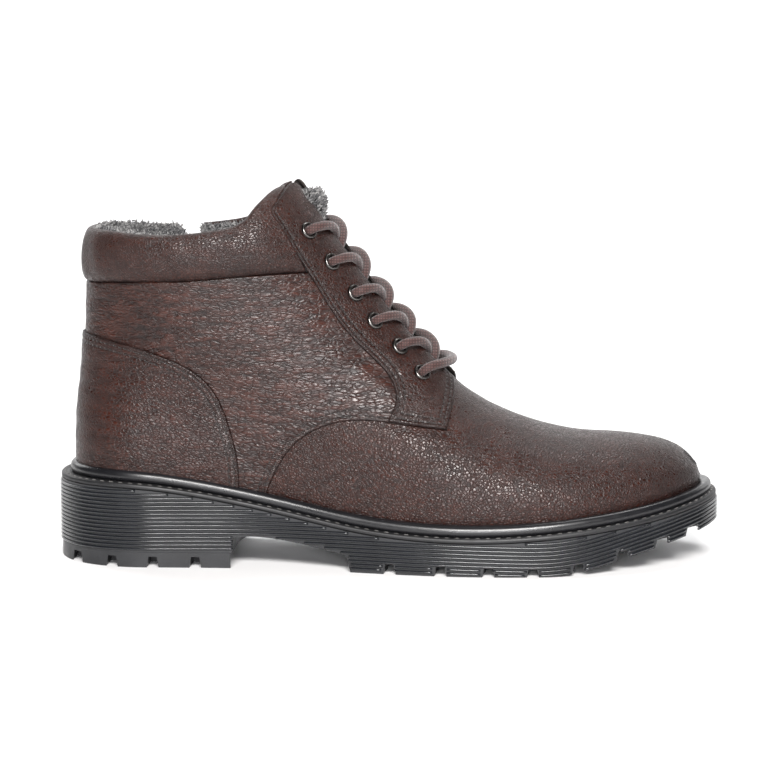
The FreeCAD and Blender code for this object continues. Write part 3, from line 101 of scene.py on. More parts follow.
WM = spline_table([(-150, 30.6), (-115, 30.6), (-90, 29.6), (-62, 28.0), (-36, 28.3), (-10, 32.4), (15, 39.2), (40, 44.8), (62, 47.0), (85, 46.4), (110, 43.2), (130, 40), (150, 37)])
WUP = spline_table([(30, 31), (50, 32.8), (65, 34.4), (85, 35.4), (105, 35.6), (120, 36.2), (132, 37.2), (145, 38.6), (155, 39.2), (180, 39.2)])
XB = spline_table([(30, -142.8), (39, -143.1), (50, -143.8), (60, -143.7), (72, -142.9), (85, -141.4), (97, -140.2), (110, -139.6), (120, -139.2), (130, -138.7), (142, -137.9), (154, -138.2), (180, -136.5)])
LEV = [(0.0, 145.0, 29.4, 39.0), (0.06, 145.7, 37.5, 47), (0.12, 143.0, None, 54), (0.18, 136.0, None, 60), (0.25, 121, None, 66), (0.33, 98, None, 73), (0.41, 75, None, 80), (0.49, 52.2, None, 88), (0.57, 34, None, 96.5), (0.65, 18.5, None, 105.5), (0.73, 5.0, None, 114.5), (0.81, -7.5, None, 123.5), (0.88, -18.5, None, 133), (0.94, -27.0, None, 143), (1.0, -34.5, None, 153.4), (1.16, -50, None, 176)]
FX = spline_table([(a, b) for a, b, c, d in LEV], 2400)
BZ = spline_table([(a, d) for a, b, c, d in LEV], 2400)
TOPBOW = spline_table([(0, 0), (0.12, -2.0), (0.32, -5.6), (0.5, -7.2), (0.68, -6.6), (0.85, -3.6), (1.0, 0)])
EB_A, EB_P, ET_L, ET_M = 34.0, 2.15, 76.0, 58.0


def front(v):
    x = ev(FX, v)
    z = ev(ZR, x)
    f = np.clip(v / 0.06, 0, 1)
    low = v < 0.06
    return np.where(low, 145.0 + 0.7 * np.sin(f * math.pi / 2), x), np.where(low, 29.4 + 8.1 * f, z)


def surf(th, v):
    """Points of the boot's outer form. th runs once round from the back (0), by the outer side (0.25) and the front (0.5); v runs up."""
    th, v = np.broadcast_arrays(np.asarray(th, float), np.asarray(v, float))
    s = (1 - np.cos(2 * math.pi * th)) / 2
    fx, fz = front(v)
    bz = ev(BZ, v)
    bx = ev(XB, bz)
    x = bx + (fx - bx) * s
    c0 = 39.0 + (29.4 - 39.0) * s
    x0 = -143.1 + (145.0 + 143.1) * s
    vv = np.minimum(v, 1.0)
    over = np.clip((v - 1.0) / 0.16, 0, 1)
    z = bz + (fz - bz) * s + (ev(Z0, x0) - c0) * (1 - vv) ** 1.15 + ev(TOPBOW, s) * vv ** 1.6 * (1 - over)
    lat = (th % 1.0) <= 0.5
    h = z - ev(Z0, x)
    b = 2.0 * np.sin(np.clip(h / 11.0, 0, 1) * math.pi / 2)
    w = np.where(lat, ev(WL, x), ev(WM, x)) + b
    db = x - bx
    k = np.clip(1 - np.clip(db / EB_A, 0, 1), 0, 1) ** EB_P
    w = w * np.where(db < EB_A, np.maximum(0, 1 - k) ** (1 / EB_P), 1.0)
    tip = np.where(v < 0.06, fx, 145.7)
    at = np.where(lat, ET_L, ET_M)
    dt = tip - x
    k = np.clip(1 - np.maximum(0, dt) / at, 0, 1) ** 2.25
    w = w * np.where(dt < at, np.maximum(0, 1 - k) ** (1 / 2.25), 1.0)
    z1 = ev(Z0, x) + 8.0
    zr = ev(ZR, x)
    a = np.minimum(1.0, np.maximum(0.0, z - z1) / np.maximum(0.05, zr - z1))
    a = np.where(s > 0.9999, 1.0, a)
    w = w * np.where((v > 0.06) & (z > z1), np.maximum(0, 1 - a ** 2.1) ** (1 / 2.05), 1.0)
    w = np.where((v <= 0.06) & (s > 0.99999), 0.0, w)
    half, xc = (fx - bx) / 2, (fx + bx) / 2
    u = np.minimum(1.0, np.abs((x - xc) / half))
    p = np.where(x > xc, 2.2, 2.35)
    ws = ev(WUP, z) * np.maximum(0, 1 - u ** p) ** (1 / p)
    m = smooth((z - 52) / 56)
    wf = (1 - m) * w + m * ws
    yc = (1 - m) * ev(YC, x)
    return np.stack([x, np.where(lat, yc - wf, yc + wf), z], -1)


def unit(a):
    return a / np.maximum(1e-12, np.linalg.norm(a, axis=-1, keepdims=True))


def normal(th, v, e=0.0012):
    th, v = np.broadcast_arrays(np.asarray(th, float), np.asarray(v, float))
    du = surf(th + e, v) - surf(th - e, v)
    dv = surf(th, np.minimum(1.16, v + 0.003)) - surf(th, np.maximum(0.0, v - 0.003))
    return unit(np.cross(du, dv))


def off(th, v, d):
    return surf(th, v) + normal(th, v) * np.asarray(d, float)[..., None]


def locate(x, z, side):
    """(th, v) of the form's points over (x, z) of the side view. side is -1 on the outer side and 1 on the inner."""
    x, z = np.asarray(x, float), np.asarray(z, float)
    lo, hi = np.zeros_like(x), np.full_like(x, 1.16)
    for _ in range(42):
        mid = (lo + hi) / 2
        fx, fz = front(mid)
        bx = ev(XB, ev(BZ, mid))
        s = np.clip((x - bx) / (fx - bx), 0, 1)
        th = np.arccos(1 - 2 * s) / (2 * math.pi)
        up = surf(th, mid)[..., 2] < z
        lo, hi = np.where(up, mid, lo), np.where(up, hi, mid)
    return (th if side < 0 else 1 - th), (lo + hi) / 2


# ---------------------------------------------------------------- mesh helpers
def build(name, verts, faces, material, body, replaces=(), attrs=None, flat=False, mats=None, face_mat=None):
    """A mesh from points in millimetres and a list of index arrays of quads or triangles."""
    me = bpy.data.meshes.new(name)
    verts = np.asarray(verts, float) * MM
    flats = [np.asarray(f, np.int64) for f in faces if len(f)]
    loops = np.concatenate([f.ravel() for f in flats])
    sizes = np.concatenate([np.full(len(f), f.shape[1]) for f in flats])
    me.vertices.add(len(verts))
    me.vertices.foreach_set("co", verts.astype(np.float32).ravel())
    me.loops.add(len(loops))
    me.loops.foreach_set("vertex_index", loops.astype(np.int32))
    me.polygons.add(len(sizes))
    starts = np.concatenate([[0], np.cumsum(sizes)[:-1]])
    me.polygons.foreach_set("loop_start", starts.astype(np.int32))
    me.update(calc_edges=True)
    me.validate(verbose=False)
    me.polygons.foreach_set("use_smooth", np.full(len(me.polygons), not flat))
    for key, val in (attrs or {}).items():
        if len(val) == len(me.vertices):
            at = me.attributes.new(key, "FLOAT", "POINT")
            at.data.foreach_set("value", np.asarray(val, np.float32))
    me.materials.append(material)
    o = bpy.data.objects.new(name, me)
    scene.collection.objects.link(o)
    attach(o, body)
    if replaces:
        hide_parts(*replaces)
    return o


def grid_faces(rows, cols, wrap_rows=False, wrap_cols=False, start=0, flip=False):
    r = np.arange(rows if wrap_rows else rows - 1)
    c = np.arange(cols if wrap_cols else cols - 1)
    R, C = np.meshgrid(r, c, indexing="ij")
    a = R * cols + C
    b = R * cols + (C + 1) % cols
    d = ((R + 1) % rows) * cols + C
    e = ((R + 1) % rows) * cols + (C + 1) % cols
    q = np.stack([a, b, e, d], -1).reshape(-1, 4) + start
    return q[:, ::-1] if flip else q


class Lump:
    """Many small pieces gathered into one mesh."""

    def __init__(self):
        self.v, self.q, self.t, self.n = [], [], [], 0
        self.val = []

    def add(self, verts, quads=(), tris=(), val=0.0):
        verts = np.asarray(verts, float)
        self.v.append(verts)
        if len(quads):
            self.q.append(np.asarray(quads) + self.n)
        if len(tris):
            self.t.append(np.asarray(tris) + self.n)
        self.n += len(verts)
        self.val.append(np.full(len(verts), val))

    def make(self, name, material, body, replaces=(), flat=False):
        f = []
        if self.q:
            f.append(np.concatenate(self.q))
        if self.t:
            f.append(np.concatenate(self.t))
        return build(name, np.concatenate(self.v), f, material, body, replaces, {"tone": np.concatenate(self.val)}, flat)


def frames_along(P, up=None):
    """Tangent and two cross directions along a line of points, carried without twist."""
    T = unit(np.gradient(P, axis=0))
    a = np.array([0.0, 0.0, 1.0]) if up is None else np.asarray(up, float)
    if abs(np.dot(T[0], a)) > 0.9:
        a = np.array([0.0, 1.0, 0.0])
    U = np.zeros_like(P)
    u = unit(np.cross(T[0], a))
    for i in range(len(P)):
        u = unit(u - T[i] * np.dot(u, T[i]))
        U[i] = u
    return T, U, np.cross(T, U)


def tube_mesh(P, radius, sides=10, caps=True):
    T, U, W = frames_along(P)
    ang = np.linspace(0, 2 * math.pi, sides, endpoint=False)
    r = np.asarray(radius, float)
    if r.ndim == 0:
        r = np.full(len(P), float(r))
    if r.ndim == 1:
        r = np.repeat(r[:, None], sides, 1)
    V = P[:, None, :] + r[..., None] * (np.cos(ang)[None, :, None] * U[:, None, :] + np.sin(ang)[None, :, None] * W[:, None, :])
    V = V.reshape(-1, 3)
    Q = grid_faces(len(P), sides, wrap_cols=True)
    tris = []
    if caps:
        n = len(V)
        V = np.concatenate([V, P[:1], P[-1:]])
        k = np.arange(sides)
        tris = np.concatenate([np.stack([(k + 1) % sides, k, np.full(sides, n)], -1), np.stack([(len(P) - 1) * sides + k, (len(P) - 1) * sides + (k + 1) % sides, np.full(sides, n + 1)], -1)])
    return V, Q, tris


def resample(P, step, closed=False):
    """Points at equal steps along a line; P may hold more columns than three, and only the first three measure."""
    P = np.asarray(P, float)
    if closed:
        P = np.concatenate([P, P[:1]])
    L = np.concatenate([[0], np.cumsum(np.linalg.norm(np.diff(P[:, :3], axis=0), axis=1))])
    n = max(2, int(round(L[-1] / step)))
    s = np.linspace(0, L[-1], n + 1)
    out = np.stack([np.interp(s, L, P[:, k]) for k in range(P.shape[1])], -1)
    return out[:-1] if closed else out


def dense(curve, n=60):
    """A smooth line through (x, z) points."""
    c = np.asarray(curve, float)
    if len(c) == 2:
        t = np.linspace(0, 1, 24)[:, None]
        return c[0] * (1 - t) + c[1] * t
    d = np.concatenate([[0], np.cumsum(np.linalg.norm(np.diff(c, axis=0), axis=1))])
    tx = spline_table(list(zip(d, c[:, 0])), n * 4)
    ty = spline_table(list(zip(d, c[:, 1])), n * 4)
    s = np.linspace(0, d[-1], n)
    return np.stack([ev(tx, s), ev(ty, s)], -1)


def seg_dist(P, A, B):
    """Least distance from each point to a set of segments."""
    best = np.full(len(P), 1e9)
    d = B - A
    dd = np.maximum(1e-12, (d * d).sum(-1))
    for k in range(0, len(P), 4000):
        p = P[k:k + 4000, None, :]
        t = np.clip(((p - A) * d).sum(-1) / dd, 0, 1)
        q = A + t[..., None] * d
        best[k:k + 4000] = np.sqrt(((p - q) ** 2).sum(-1)).min(-1)
    return best


def inside_poly(pts, poly):
    x, y = pts[:, 0], pts[:, 1]
    res = np.zeros(len(pts), bool)
    px, py = poly[:, 0], poly[:, 1]
    j = len(poly) - 1
    for i in range(len(poly)):
        c = ((py[i] > y) != (py[j] > y)) & (x < (px[j] - px[i]) * (y - py[i]) / (py[j] - py[i] + 1e-15) + px[i])
        res ^= c
        j = i
    return res


KU, KV = 430.0, 160.0   # rough millimetres per unit of th and of v, for the flat pattern
STITCHES = {}


def leather_swell(P):
    """Slow unevenness of stretched leather, millimetres."""
    x, y, z = P[:, 0], P[:, 1], P[:, 2]
    a = np.sin(x * 0.11 + 1.3 * np.sin(z * 0.09)) * np.sin(z * 0.17 + 0.8 * np.sin(x * 0.07 + y * 0.05))
    b = np.sin(z * 0.62 + 1.6 * np.sin(x * 0.10) + 0.5 * np.sin(x * 0.31 + y * 0.2))
    ankle = np.exp(-(((x + 6) / 26.0) ** 2 + ((z - 92) / 24.0) ** 2))
    c = np.sin((z * 0.75 + x * 0.42) * 0.55 + 1.1 * np.sin(x * 0.12))
    return 0.16 * a + 0.08 * b + 0.30 * ankle * c


def burnish(P):
    """Darker waxed toe, partly painted shade where the toe turns away from the lamps, and painted shade on the top of
    the vamp under the throat.
    """
    x, z = P[:, 0], P[:, 2]
    return np.clip(0.75 * smooth((x - 112) / 34) + 0.45 * np.exp(-(((x - 40) / 20) ** 2 + ((z - 82) / 9) ** 2)), 0, 0.85)


def panel(name, segs, d_out, d_in, material, body="boot", replaces=(), step=1.6, holes=(), rows=(), edge_round=0.8, swell=True, inner_noise=0.0, groove=0.26, stitch_mat=None, tuck=None, relax=0):
    """A cut panel on the form. segs is a list of (points in th and v, flags); flag s has stitch rows beside it, e is a visible edge.
    The panel is a closed sheet from d_in to d_out above the form, with rounded edges and pressed stitch lines."""
    loop, marks = [], []
    for pts, flags in segs:
        pts = np.asarray(pts, float)
        base = surf(pts[:, 0], pts[:, 1])
        r = resample(np.concatenate([base, pts], 1), 0.95)
        loop.append(r[:-1])
        marks += [flags] * (len(r) - 1)
    loop = np.concatenate(loop)
    keep = [0]
    for i in range(1, len(loop)):
        if np.linalg.norm(loop[i, :3] - loop[keep[-1], :3]) > 0.35:
            keep.append(i)
    loop = loop[keep]
    marks = [marks[i] for i in keep]
    uv = loop[:, 3:5]
    n = len(uv)
    base = loop[:, :3]
    flat = uv * [KU, KV]
    area = 0.5 * np.sum(flat[:, 0] * np.roll(flat[:, 1], -1) - np.roll(flat[:, 0], -1) * flat[:, 1])
    nrm = normal(uv[:, 0], uv[:, 1])
    tan = unit(np.roll(base, -1, 0) - np.roll(base, 1, 0))
    inw = unit(np.cross(nrm, tan)) * (1 if area > 0 else -1)
    e = 1e-3
    Ju = (surf(uv[:, 0] + e, uv[:, 1]) - surf(uv[:, 0] - e, uv[:, 1])) / (2 * e)
    Jv = (surf(uv[:, 0], uv[:, 1] + e) - surf(uv[:, 0], np.maximum(0, uv[:, 1] - e))) / (np.where(uv[:, 1] > e, 2 * e, e + uv[:, 1]))[:, None]
    test = uv + 0
    a11, a12, a22 = (Ju * Ju).sum(-1), (Ju * Jv).sum(-1), (Jv * Jv).sum(-1)
    b1, b2 = (Ju * inw).sum(-1), (Jv * inw).sum(-1)
    det = np.maximum(1e-6, a11 * a22 - a12 * a12)
    step_uv = np.stack([(b1 * a22 - b2 * a12) / det, (b2 * a11 - b1 * a12) / det], -1)
    if inside_poly(((uv + step_uv * 1.0) * [KU, KV]), flat).mean() < 0.5:
        step_uv = -step_uv
        inw = -inw
    A, B = base, np.roll(base, -1, 0)
    smask = np.array(["s" in m or "t" in m for m in marks])
    dmask = np.array(["s" in m for m in marks])
    emask = np.array(["e" in m for m in marks])
    deltas = [0.22, 0.5, 0.9, 1.4, 2.0, 2.7]
    if rows:
        deltas = sorted(set(deltas + [r + k for r in rows for k in (-0.35, 0.0, 0.35)] + [max(rows) + 1.0]))
    pts = [uv]
    for dlt in deltas:
        c = uv + step_uv * dlt
        c[:, 1] = np.clip(c[:, 1], 0, 1.16)
        ok = inside_poly(c * [KU, KV], flat)
        P = surf(c[:, 0], c[:, 1])
        ok &= seg_dist(P, A, B) > dlt * 0.93
        pts.append(c[ok])
    lo, hi = uv.min(0), uv.max(0)
    vs = np.arange(lo[1], hi[1], step / KV)
    inner = []
    for k, v in enumerate(vs):
        girth = np.linalg.norm(surf(0.26, v) - surf(0.24, v)) / 0.02
        us = np.arange(lo[0] + (k % 2) * 0.5 * step / max(180, girth * 0.8), hi[0], step / max(180, girth * 0.8))
        inner.append(np.stack([us, np.full(len(us), v)], -1))
    inner = np.concatenate(inner)
    inner = inner[inside_poly(inner * [KU, KV], flat)]
    P = surf(inner[:, 0], inner[:, 1])
    inner = inner[seg_dist(P, A, B) > max(deltas) + step * 0.4]
    hole_loops = []
    for (hu, hv), rad in holes:
        c, nn = surf(hu, hv), normal(hu, hv)
        t1 = unit(np.cross(nn, [0, 0, 1.0]))
        t2 = np.cross(nn, t1)
        ju = (surf(hu + e, hv) - surf(hu - e, hv)) / (2 * e)
        jv = (surf(hu, hv + e) - surf(hu, hv - e)) / (2 * e)
        M = np.linalg.pinv(np.stack([ju, jv], -1))
        for k, rr in enumerate((rad, rad + 0.4, rad + 1.0)):
            ang = np.linspace(0, 2 * math.pi, 28, endpoint=False)
            q = np.array([[hu, hv]]) + (M @ (rr * (np.cos(ang)[:, None] * t1 + np.sin(ang)[:, None] * t2)).T).T
            if k == 0:
                hole_loops.append(q)
            else:
                pts.append(q)
        inner = inner[np.linalg.norm(surf(inner[:, 0], inner[:, 1]) - c, axis=1) > rad + 1.5]
    pts.append(inner)
    allp = np.concatenate(pts)
    hstart = []
    for q in hole_loops:
        hstart.append(len(allp))
        allp = np.concatenate([allp, q])
    edges = [(i, (i + 1) % n) for i in range(n)]
    for h0, q in zip(hstart, hole_loops):
        edges += [(h0 + i, h0 + (i + 1) % len(q)) for i in range(len(q))]
    fl = allp * [KU, KV]
    co, ed, fc, ov, oe, of_ = delaunay_2d_cdt([Vector((float(a), float(b))) for a, b in fl], edges, [], 0, 1e-6)
    co = np.array([(c.x, c.y) for c in co])
    tri = np.array([f for f in fc if len(f) == 3], int)
    cen = co[tri].mean(1)
    ok = inside_poly(cen, flat)
    for q in hole_loops:
        ok &= ~inside_poly(cen, q * [KU, KV])
    tri = tri[ok]
    # drop slivers outside, order upward
    a, b, c = co[tri[:, 0]], co[tri[:, 1]], co[tri[:, 2]]
    ar = (b[:, 0] - a[:, 0]) * (c[:, 1] - a[:, 1]) - (b[:, 1] - a[:, 1]) * (c[:, 0] - a[:, 0])
    tri = tri[np.abs(ar) > 1e-7]
    ar = ar[np.abs(ar) > 1e-7]
    tri[ar < 0] = tri[ar < 0][:, ::-1]
    used = np.unique(tri)
    remap = np.full(len(co), -1)
    remap[used] = np.arange(len(used))
    tri = remap[tri]
    uvp = co[used] / [KU, KV]
    S, N = surf(uvp[:, 0], uvp[:, 1]), normal(uvp[:, 0], uvp[:, 1])
    dist = seg_dist(S, A, B)
    de = seg_dist(S, A[emask], B[emask]) if emask.any() else np.full(len(S), 99.0)
    ds = seg_dist(S, A[smask], B[smask]) if smask.any() else np.full(len(S), 99.0)
    dd2 = seg_dist(S, A[dmask], B[dmask]) if dmask.any() else np.full(len(S), 99.0)
    top = d_out(uvp, S) if callable(d_out) else np.full(len(S), float(d_out))
    thick = top - d_in
    k = np.clip(1 - dist / edge_round, 0, 1)
    drop = np.minimum(edge_round, thick * 0.55) * (1 - np.sqrt(np.maximum(0, 1 - k * k)))
    h = top - drop
    if swell:
        h = h + leather_swell(S) * np.clip(dist / 6.0, 0, 1)
    for j, r in enumerate(rows):
        h -= groove * np.exp(-(((ds if j == 0 else dd2) - r) / 0.42) ** 2)
    if len(rows) > 1:
        mid = sum(rows) / len(rows)
        h += 0.10 * np.exp(-((dd2 - mid) / 0.7) ** 2)
    for (hu, hv), rad in holes:
        rr = np.linalg.norm(S - surf(hu, hv), axis=1)
        h -= 0.22 * np.clip(1 - (rr - rad) / 2.2, 0, 1) ** 2
    bot = np.full(len(S), float(d_in))
    if inner_noise:
        bot = bot + fuzz(S, inner_noise) * np.clip(dist / 1.5, 0, 1)
    # outward is along the normal
    if tuck is not None:
        h, bot = tuck(uvp, S, h, bot)
    T = S + N * h[:, None]
    Bm = S + N * bot[:, None]
    if relax:
        wt_ = 0.7 * np.clip(1 - (np.abs(uvp[:, 0] - 0.5) / 0.035 - 0.5) / 0.5, 0, 1) * np.clip((dist - 0.6) / 2.0, 0, 1)
        e0, e1 = np.concatenate([tri[:, 0], tri[:, 1], tri[:, 2]]), np.concatenate([tri[:, 1], tri[:, 2], tri[:, 0]])
        cnt = np.bincount(e0, minlength=len(T)) + np.bincount(e1, minlength=len(T))
        for _ in range(relax):
            acc = np.zeros_like(T)
            np.add.at(acc, e0, T[e1])
            np.add.at(acc, e1, T[e0])
            T = T + (acc / np.maximum(cnt, 1)[:, None] - T) * wt_[:, None]
    V = np.concatenate([T, Bm])
    m = len(T)
    # boundary edges, for the side wall
    E = np.concatenate([tri[:, [0, 1]], tri[:, [1, 2]], tri[:, [2, 0]]])
    key = E[:, 0].astype(np.int64) * m + E[:, 1]
    rev = E[:, 1].astype(np.int64) * m + E[:, 0]
    bd = E[~np.isin(key, rev)]
    wall = np.stack([bd[:, 1], bd[:, 0], bd[:, 0] + m, bd[:, 1] + m], -1)
    # is the top facing outward
    n3 = np.cross(T[tri[:, 1]] - T[tri[:, 0]], T[tri[:, 2]] - T[tri[:, 0]])
    sign = np.sign((n3 * N[tri[:, 0]]).sum(-1).mean())
    tt = tri if sign > 0 else tri[:, ::-1]
    tb = tri[:, ::-1] + m if sign > 0 else tri + m
    if sign < 0:
        wall = wall[:, ::-1]
    # edge: painted shade, darker along the visible cut edges and in the pressed stitch grooves
    edge = np.exp(-de / 1.3)
    if rows:
        for j, r in enumerate(rows):
            edge = np.maximum(edge, 0.75 * np.exp(-(((ds if j == 0 else dd2) - r) / 0.5) ** 2))
    # darkening attribute: burnished toe, partly painted shade, and painted shade on the vamp under the throat
    br = burnish(S)
    attrs = {"edge": np.concatenate([edge, np.ones(m)]), "under": np.concatenate([np.zeros(m), np.ones(m)]), "burn": np.concatenate([br, br])}
    o = build(name, V, [np.concatenate([tt, tb]), wall], material, body, replaces, attrs)
    # stitches
    for j, r in enumerate(rows):
        mask = smask if j == 0 else dmask
        if not mask.any():
            continue
        runs, cur = [], []
        for i in range(n):
            if mask[i]:
                cur.append(i)
            elif cur:
                runs.append(cur)
                cur = []
        if cur:
            if runs and mask[0] and runs[0][0] == 0:
                runs[0] = cur + runs[0]
            else:
                runs.append(cur)
        for run in runs:
            if len(run) < 6:
                continue
            c = uv[run] + step_uv[run] * r
            P = surf(c[:, 0], c[:, 1])
            ok = (np.abs(seg_dist(P, A[mask], B[mask]) - r) < 0.3) & inside_poly(c * [KU, KV], flat) & (seg_dist(P, A, B) > min(r, 1.2) * 0.9)
            c, P = c[ok], P[ok]
            if len(c) < 4:
                continue
            dd = d_out(c, P) if callable(d_out) else np.full(len(c), float(d_out))
            if swell:
                dd = dd + leather_swell(P) * min(1.0, r / 6.0)
            Q = P + normal(c[:, 0], c[:, 1]) * (dd - 0.12)[:, None]
            STITCHES.setdefault(body, []).append((Q, normal(c[:, 0], c[:, 1])))
    return o


def fuzz(P, amp):
    """Woolly unevenness, millimetres."""
    x, y, z = P[:, 0], P[:, 1], P[:, 2]
    a = np.sin(x * 1.9 + 2.1 * np.sin(z * 1.3)) * np.sin(z * 2.3 + 1.7 * np.sin(y * 1.7 + x * 0.6)) * np.sin(y * 2.0 + 1.2 * np.sin(x * 0.9))
    b = np.sin(x * 0.7 + 1.4 * np.sin(y * 0.9)) * np.sin(z * 0.8 + 1.1 * np.sin(x * 0.5))
    return amp * (0.8 * a + 0.7 * b)


# ---------------------------------------------------------------- materials
def new_mat(name, metallic=0.0, ior=1.5, sheen=0.0, coat=0.0, coat_rough=0.3, spec=0.5):
    m = bpy.data.materials.new(name)
    m.use_nodes = True
    nt = m.node_tree
    nt.nodes.clear()
    out = nt.nodes.new("ShaderNodeOutputMaterial")
    bs = nt.nodes.new("ShaderNodeBsdfPrincipled")
    nt.links.new(bs.outputs[0], out.inputs[0])
    bs.inputs["Metallic"].default_value = metallic
    bs.inputs["IOR"].default_value = ior
    bs.inputs["Specular IOR Level"].default_value = spec
    bs.inputs["Sheen Weight"].default_value = sheen
    bs.inputs["Sheen Roughness"].default_value = 0.5
    bs.inputs["Coat Weight"].default_value = coat
    bs.inputs["Coat Roughness"].default_value = coat_rough
    return m, nt, bs


def coords(nt, scale=(1, 1, 1), rot=(0, 0, 0)):
    tc = nt.nodes.new("ShaderNodeTexCoord")
    mp = nt.nodes.new("ShaderNodeMapping")
    mp.inputs["Scale"].default_value = scale
    mp.inputs["Rotation"].default_value = rot
    nt.links.new(tc.outputs["Object"], mp.inputs["Vector"])
    return mp.outputs[0]


def noise(nt, vec, scale, detail=3.0, rough=0.55, distort=0.0):
    n = nt.nodes.new("ShaderNodeTexNoise")
    n.inputs["Scale"].default_value = scale
    n.inputs["Detail"].default_value = detail
    n.inputs["Roughness"].default_value = rough
    n.inputs["Distortion"].default_value = distort
    nt.links.new(vec, n.inputs["Vector"])
    return n.outputs["Fac"]


def cells(nt, vec, scale, feature="DISTANCE_TO_EDGE", random=1.0):
    n = nt.nodes.new("ShaderNodeTexVoronoi")
    n.feature = feature
    n.inputs["Scale"].default_value = scale
    n.inputs["Randomness"].default_value = random
    nt.links.new(vec, n.inputs["Vector"])
    return n.outputs["Distance"]


def warp(nt, vec, scale, amount):
    n = nt.nodes.new("ShaderNodeTexNoise")
    n.inputs["Scale"].default_value = scale
    n.inputs["Detail"].default_value = 2.0
    nt.links.new(vec, n.inputs["Vector"])
    s = nt.nodes.new("ShaderNodeVectorMath")
    s.operation = "SUBTRACT"
    nt.links.new(n.outputs["Color"], s.inputs[0])
    s.inputs[1].default_value = (0.5, 0.5, 0.5)
    k = nt.nodes.new("ShaderNodeVectorMath")
    k.operation = "SCALE"
    nt.links.new(s.outputs[0], k.inputs[0])
    k.inputs["Scale"].default_value = amount
    a = nt.nodes.new("ShaderNodeVectorMath")
    a.operation = "ADD"
    nt.links.new(vec, a.inputs[0])
    nt.links.new(k.outputs[0], a.inputs[1])
    return a.outputs[0]


def math_node(nt, op, a, b=None, clamp=False):
    n = nt.nodes.new("ShaderNodeMath")
    n.operation = op
    n.use_clamp = clamp
    for i, q in enumerate((a, b)):
        if q is None:
            continue
        if isinstance(q, (int, float)):
            n.inputs[i].default_value = q
        else:
            nt.links.new(q, n.inputs[i])
    return n.outputs[0]


def ramp(nt, fac, stops, interp="LINEAR"):
    n = nt.nodes.new("ShaderNodeValToRGB")
    n.color_ramp.interpolation = interp
    el = n.color_ramp.elements
    while len(el) > len(stops):
        el.remove(el[-1])
    while len(el) < len(stops):
        el.new(0.5)
    for e, (p, c) in zip(el, stops):
        e.position = p
        e.color = (c[0], c[1], c[2], 1) if isinstance(c, (tuple, list)) else (c, c, c, 1)
    nt.links.new(fac, n.inputs[0])
    return n.outputs[0]


def mix(nt, fac, a, b, mode="MIX"):
    n = nt.nodes.new("ShaderNodeMix")
    n.data_type = "RGBA"
    n.blend_type = mode
    for key, q in (("Factor", fac), ("A", a), ("B", b)):
        sock = [s for s in n.inputs if s.name == key and s.type == ("VALUE" if key == "Factor" else "RGBA")][0]
        if isinstance(q, (int, float)):
            sock.default_value = q
        elif isinstance(q, (tuple, list)):
            sock.default_value = (q[0], q[1], q[2], 1)
        else:
            nt.links.new(q, sock)
    return [s for s in n.outputs if s.type == "RGBA"][0]


def attr(nt, name):
    n = nt.nodes.new("ShaderNodeAttribute")
    n.attribute_name = name
    return n.outputs["Fac"]


def bump(nt, bs, pairs):
    """pairs of (height socket, strength, distance in metres)."""
    last = None
    for h, s, d in pairs:
        b = nt.nodes.new("ShaderNodeBump")
        b.inputs["Strength"].default_value = s
        b.inputs["Distance"].default_value = d
        nt.links.new(h, b.inputs["Height"])
        if last is not None:
            nt.links.new(last, b.inputs["Normal"])
        last = b.outputs[0]
    nt.links.new(last, bs.inputs["Normal"])


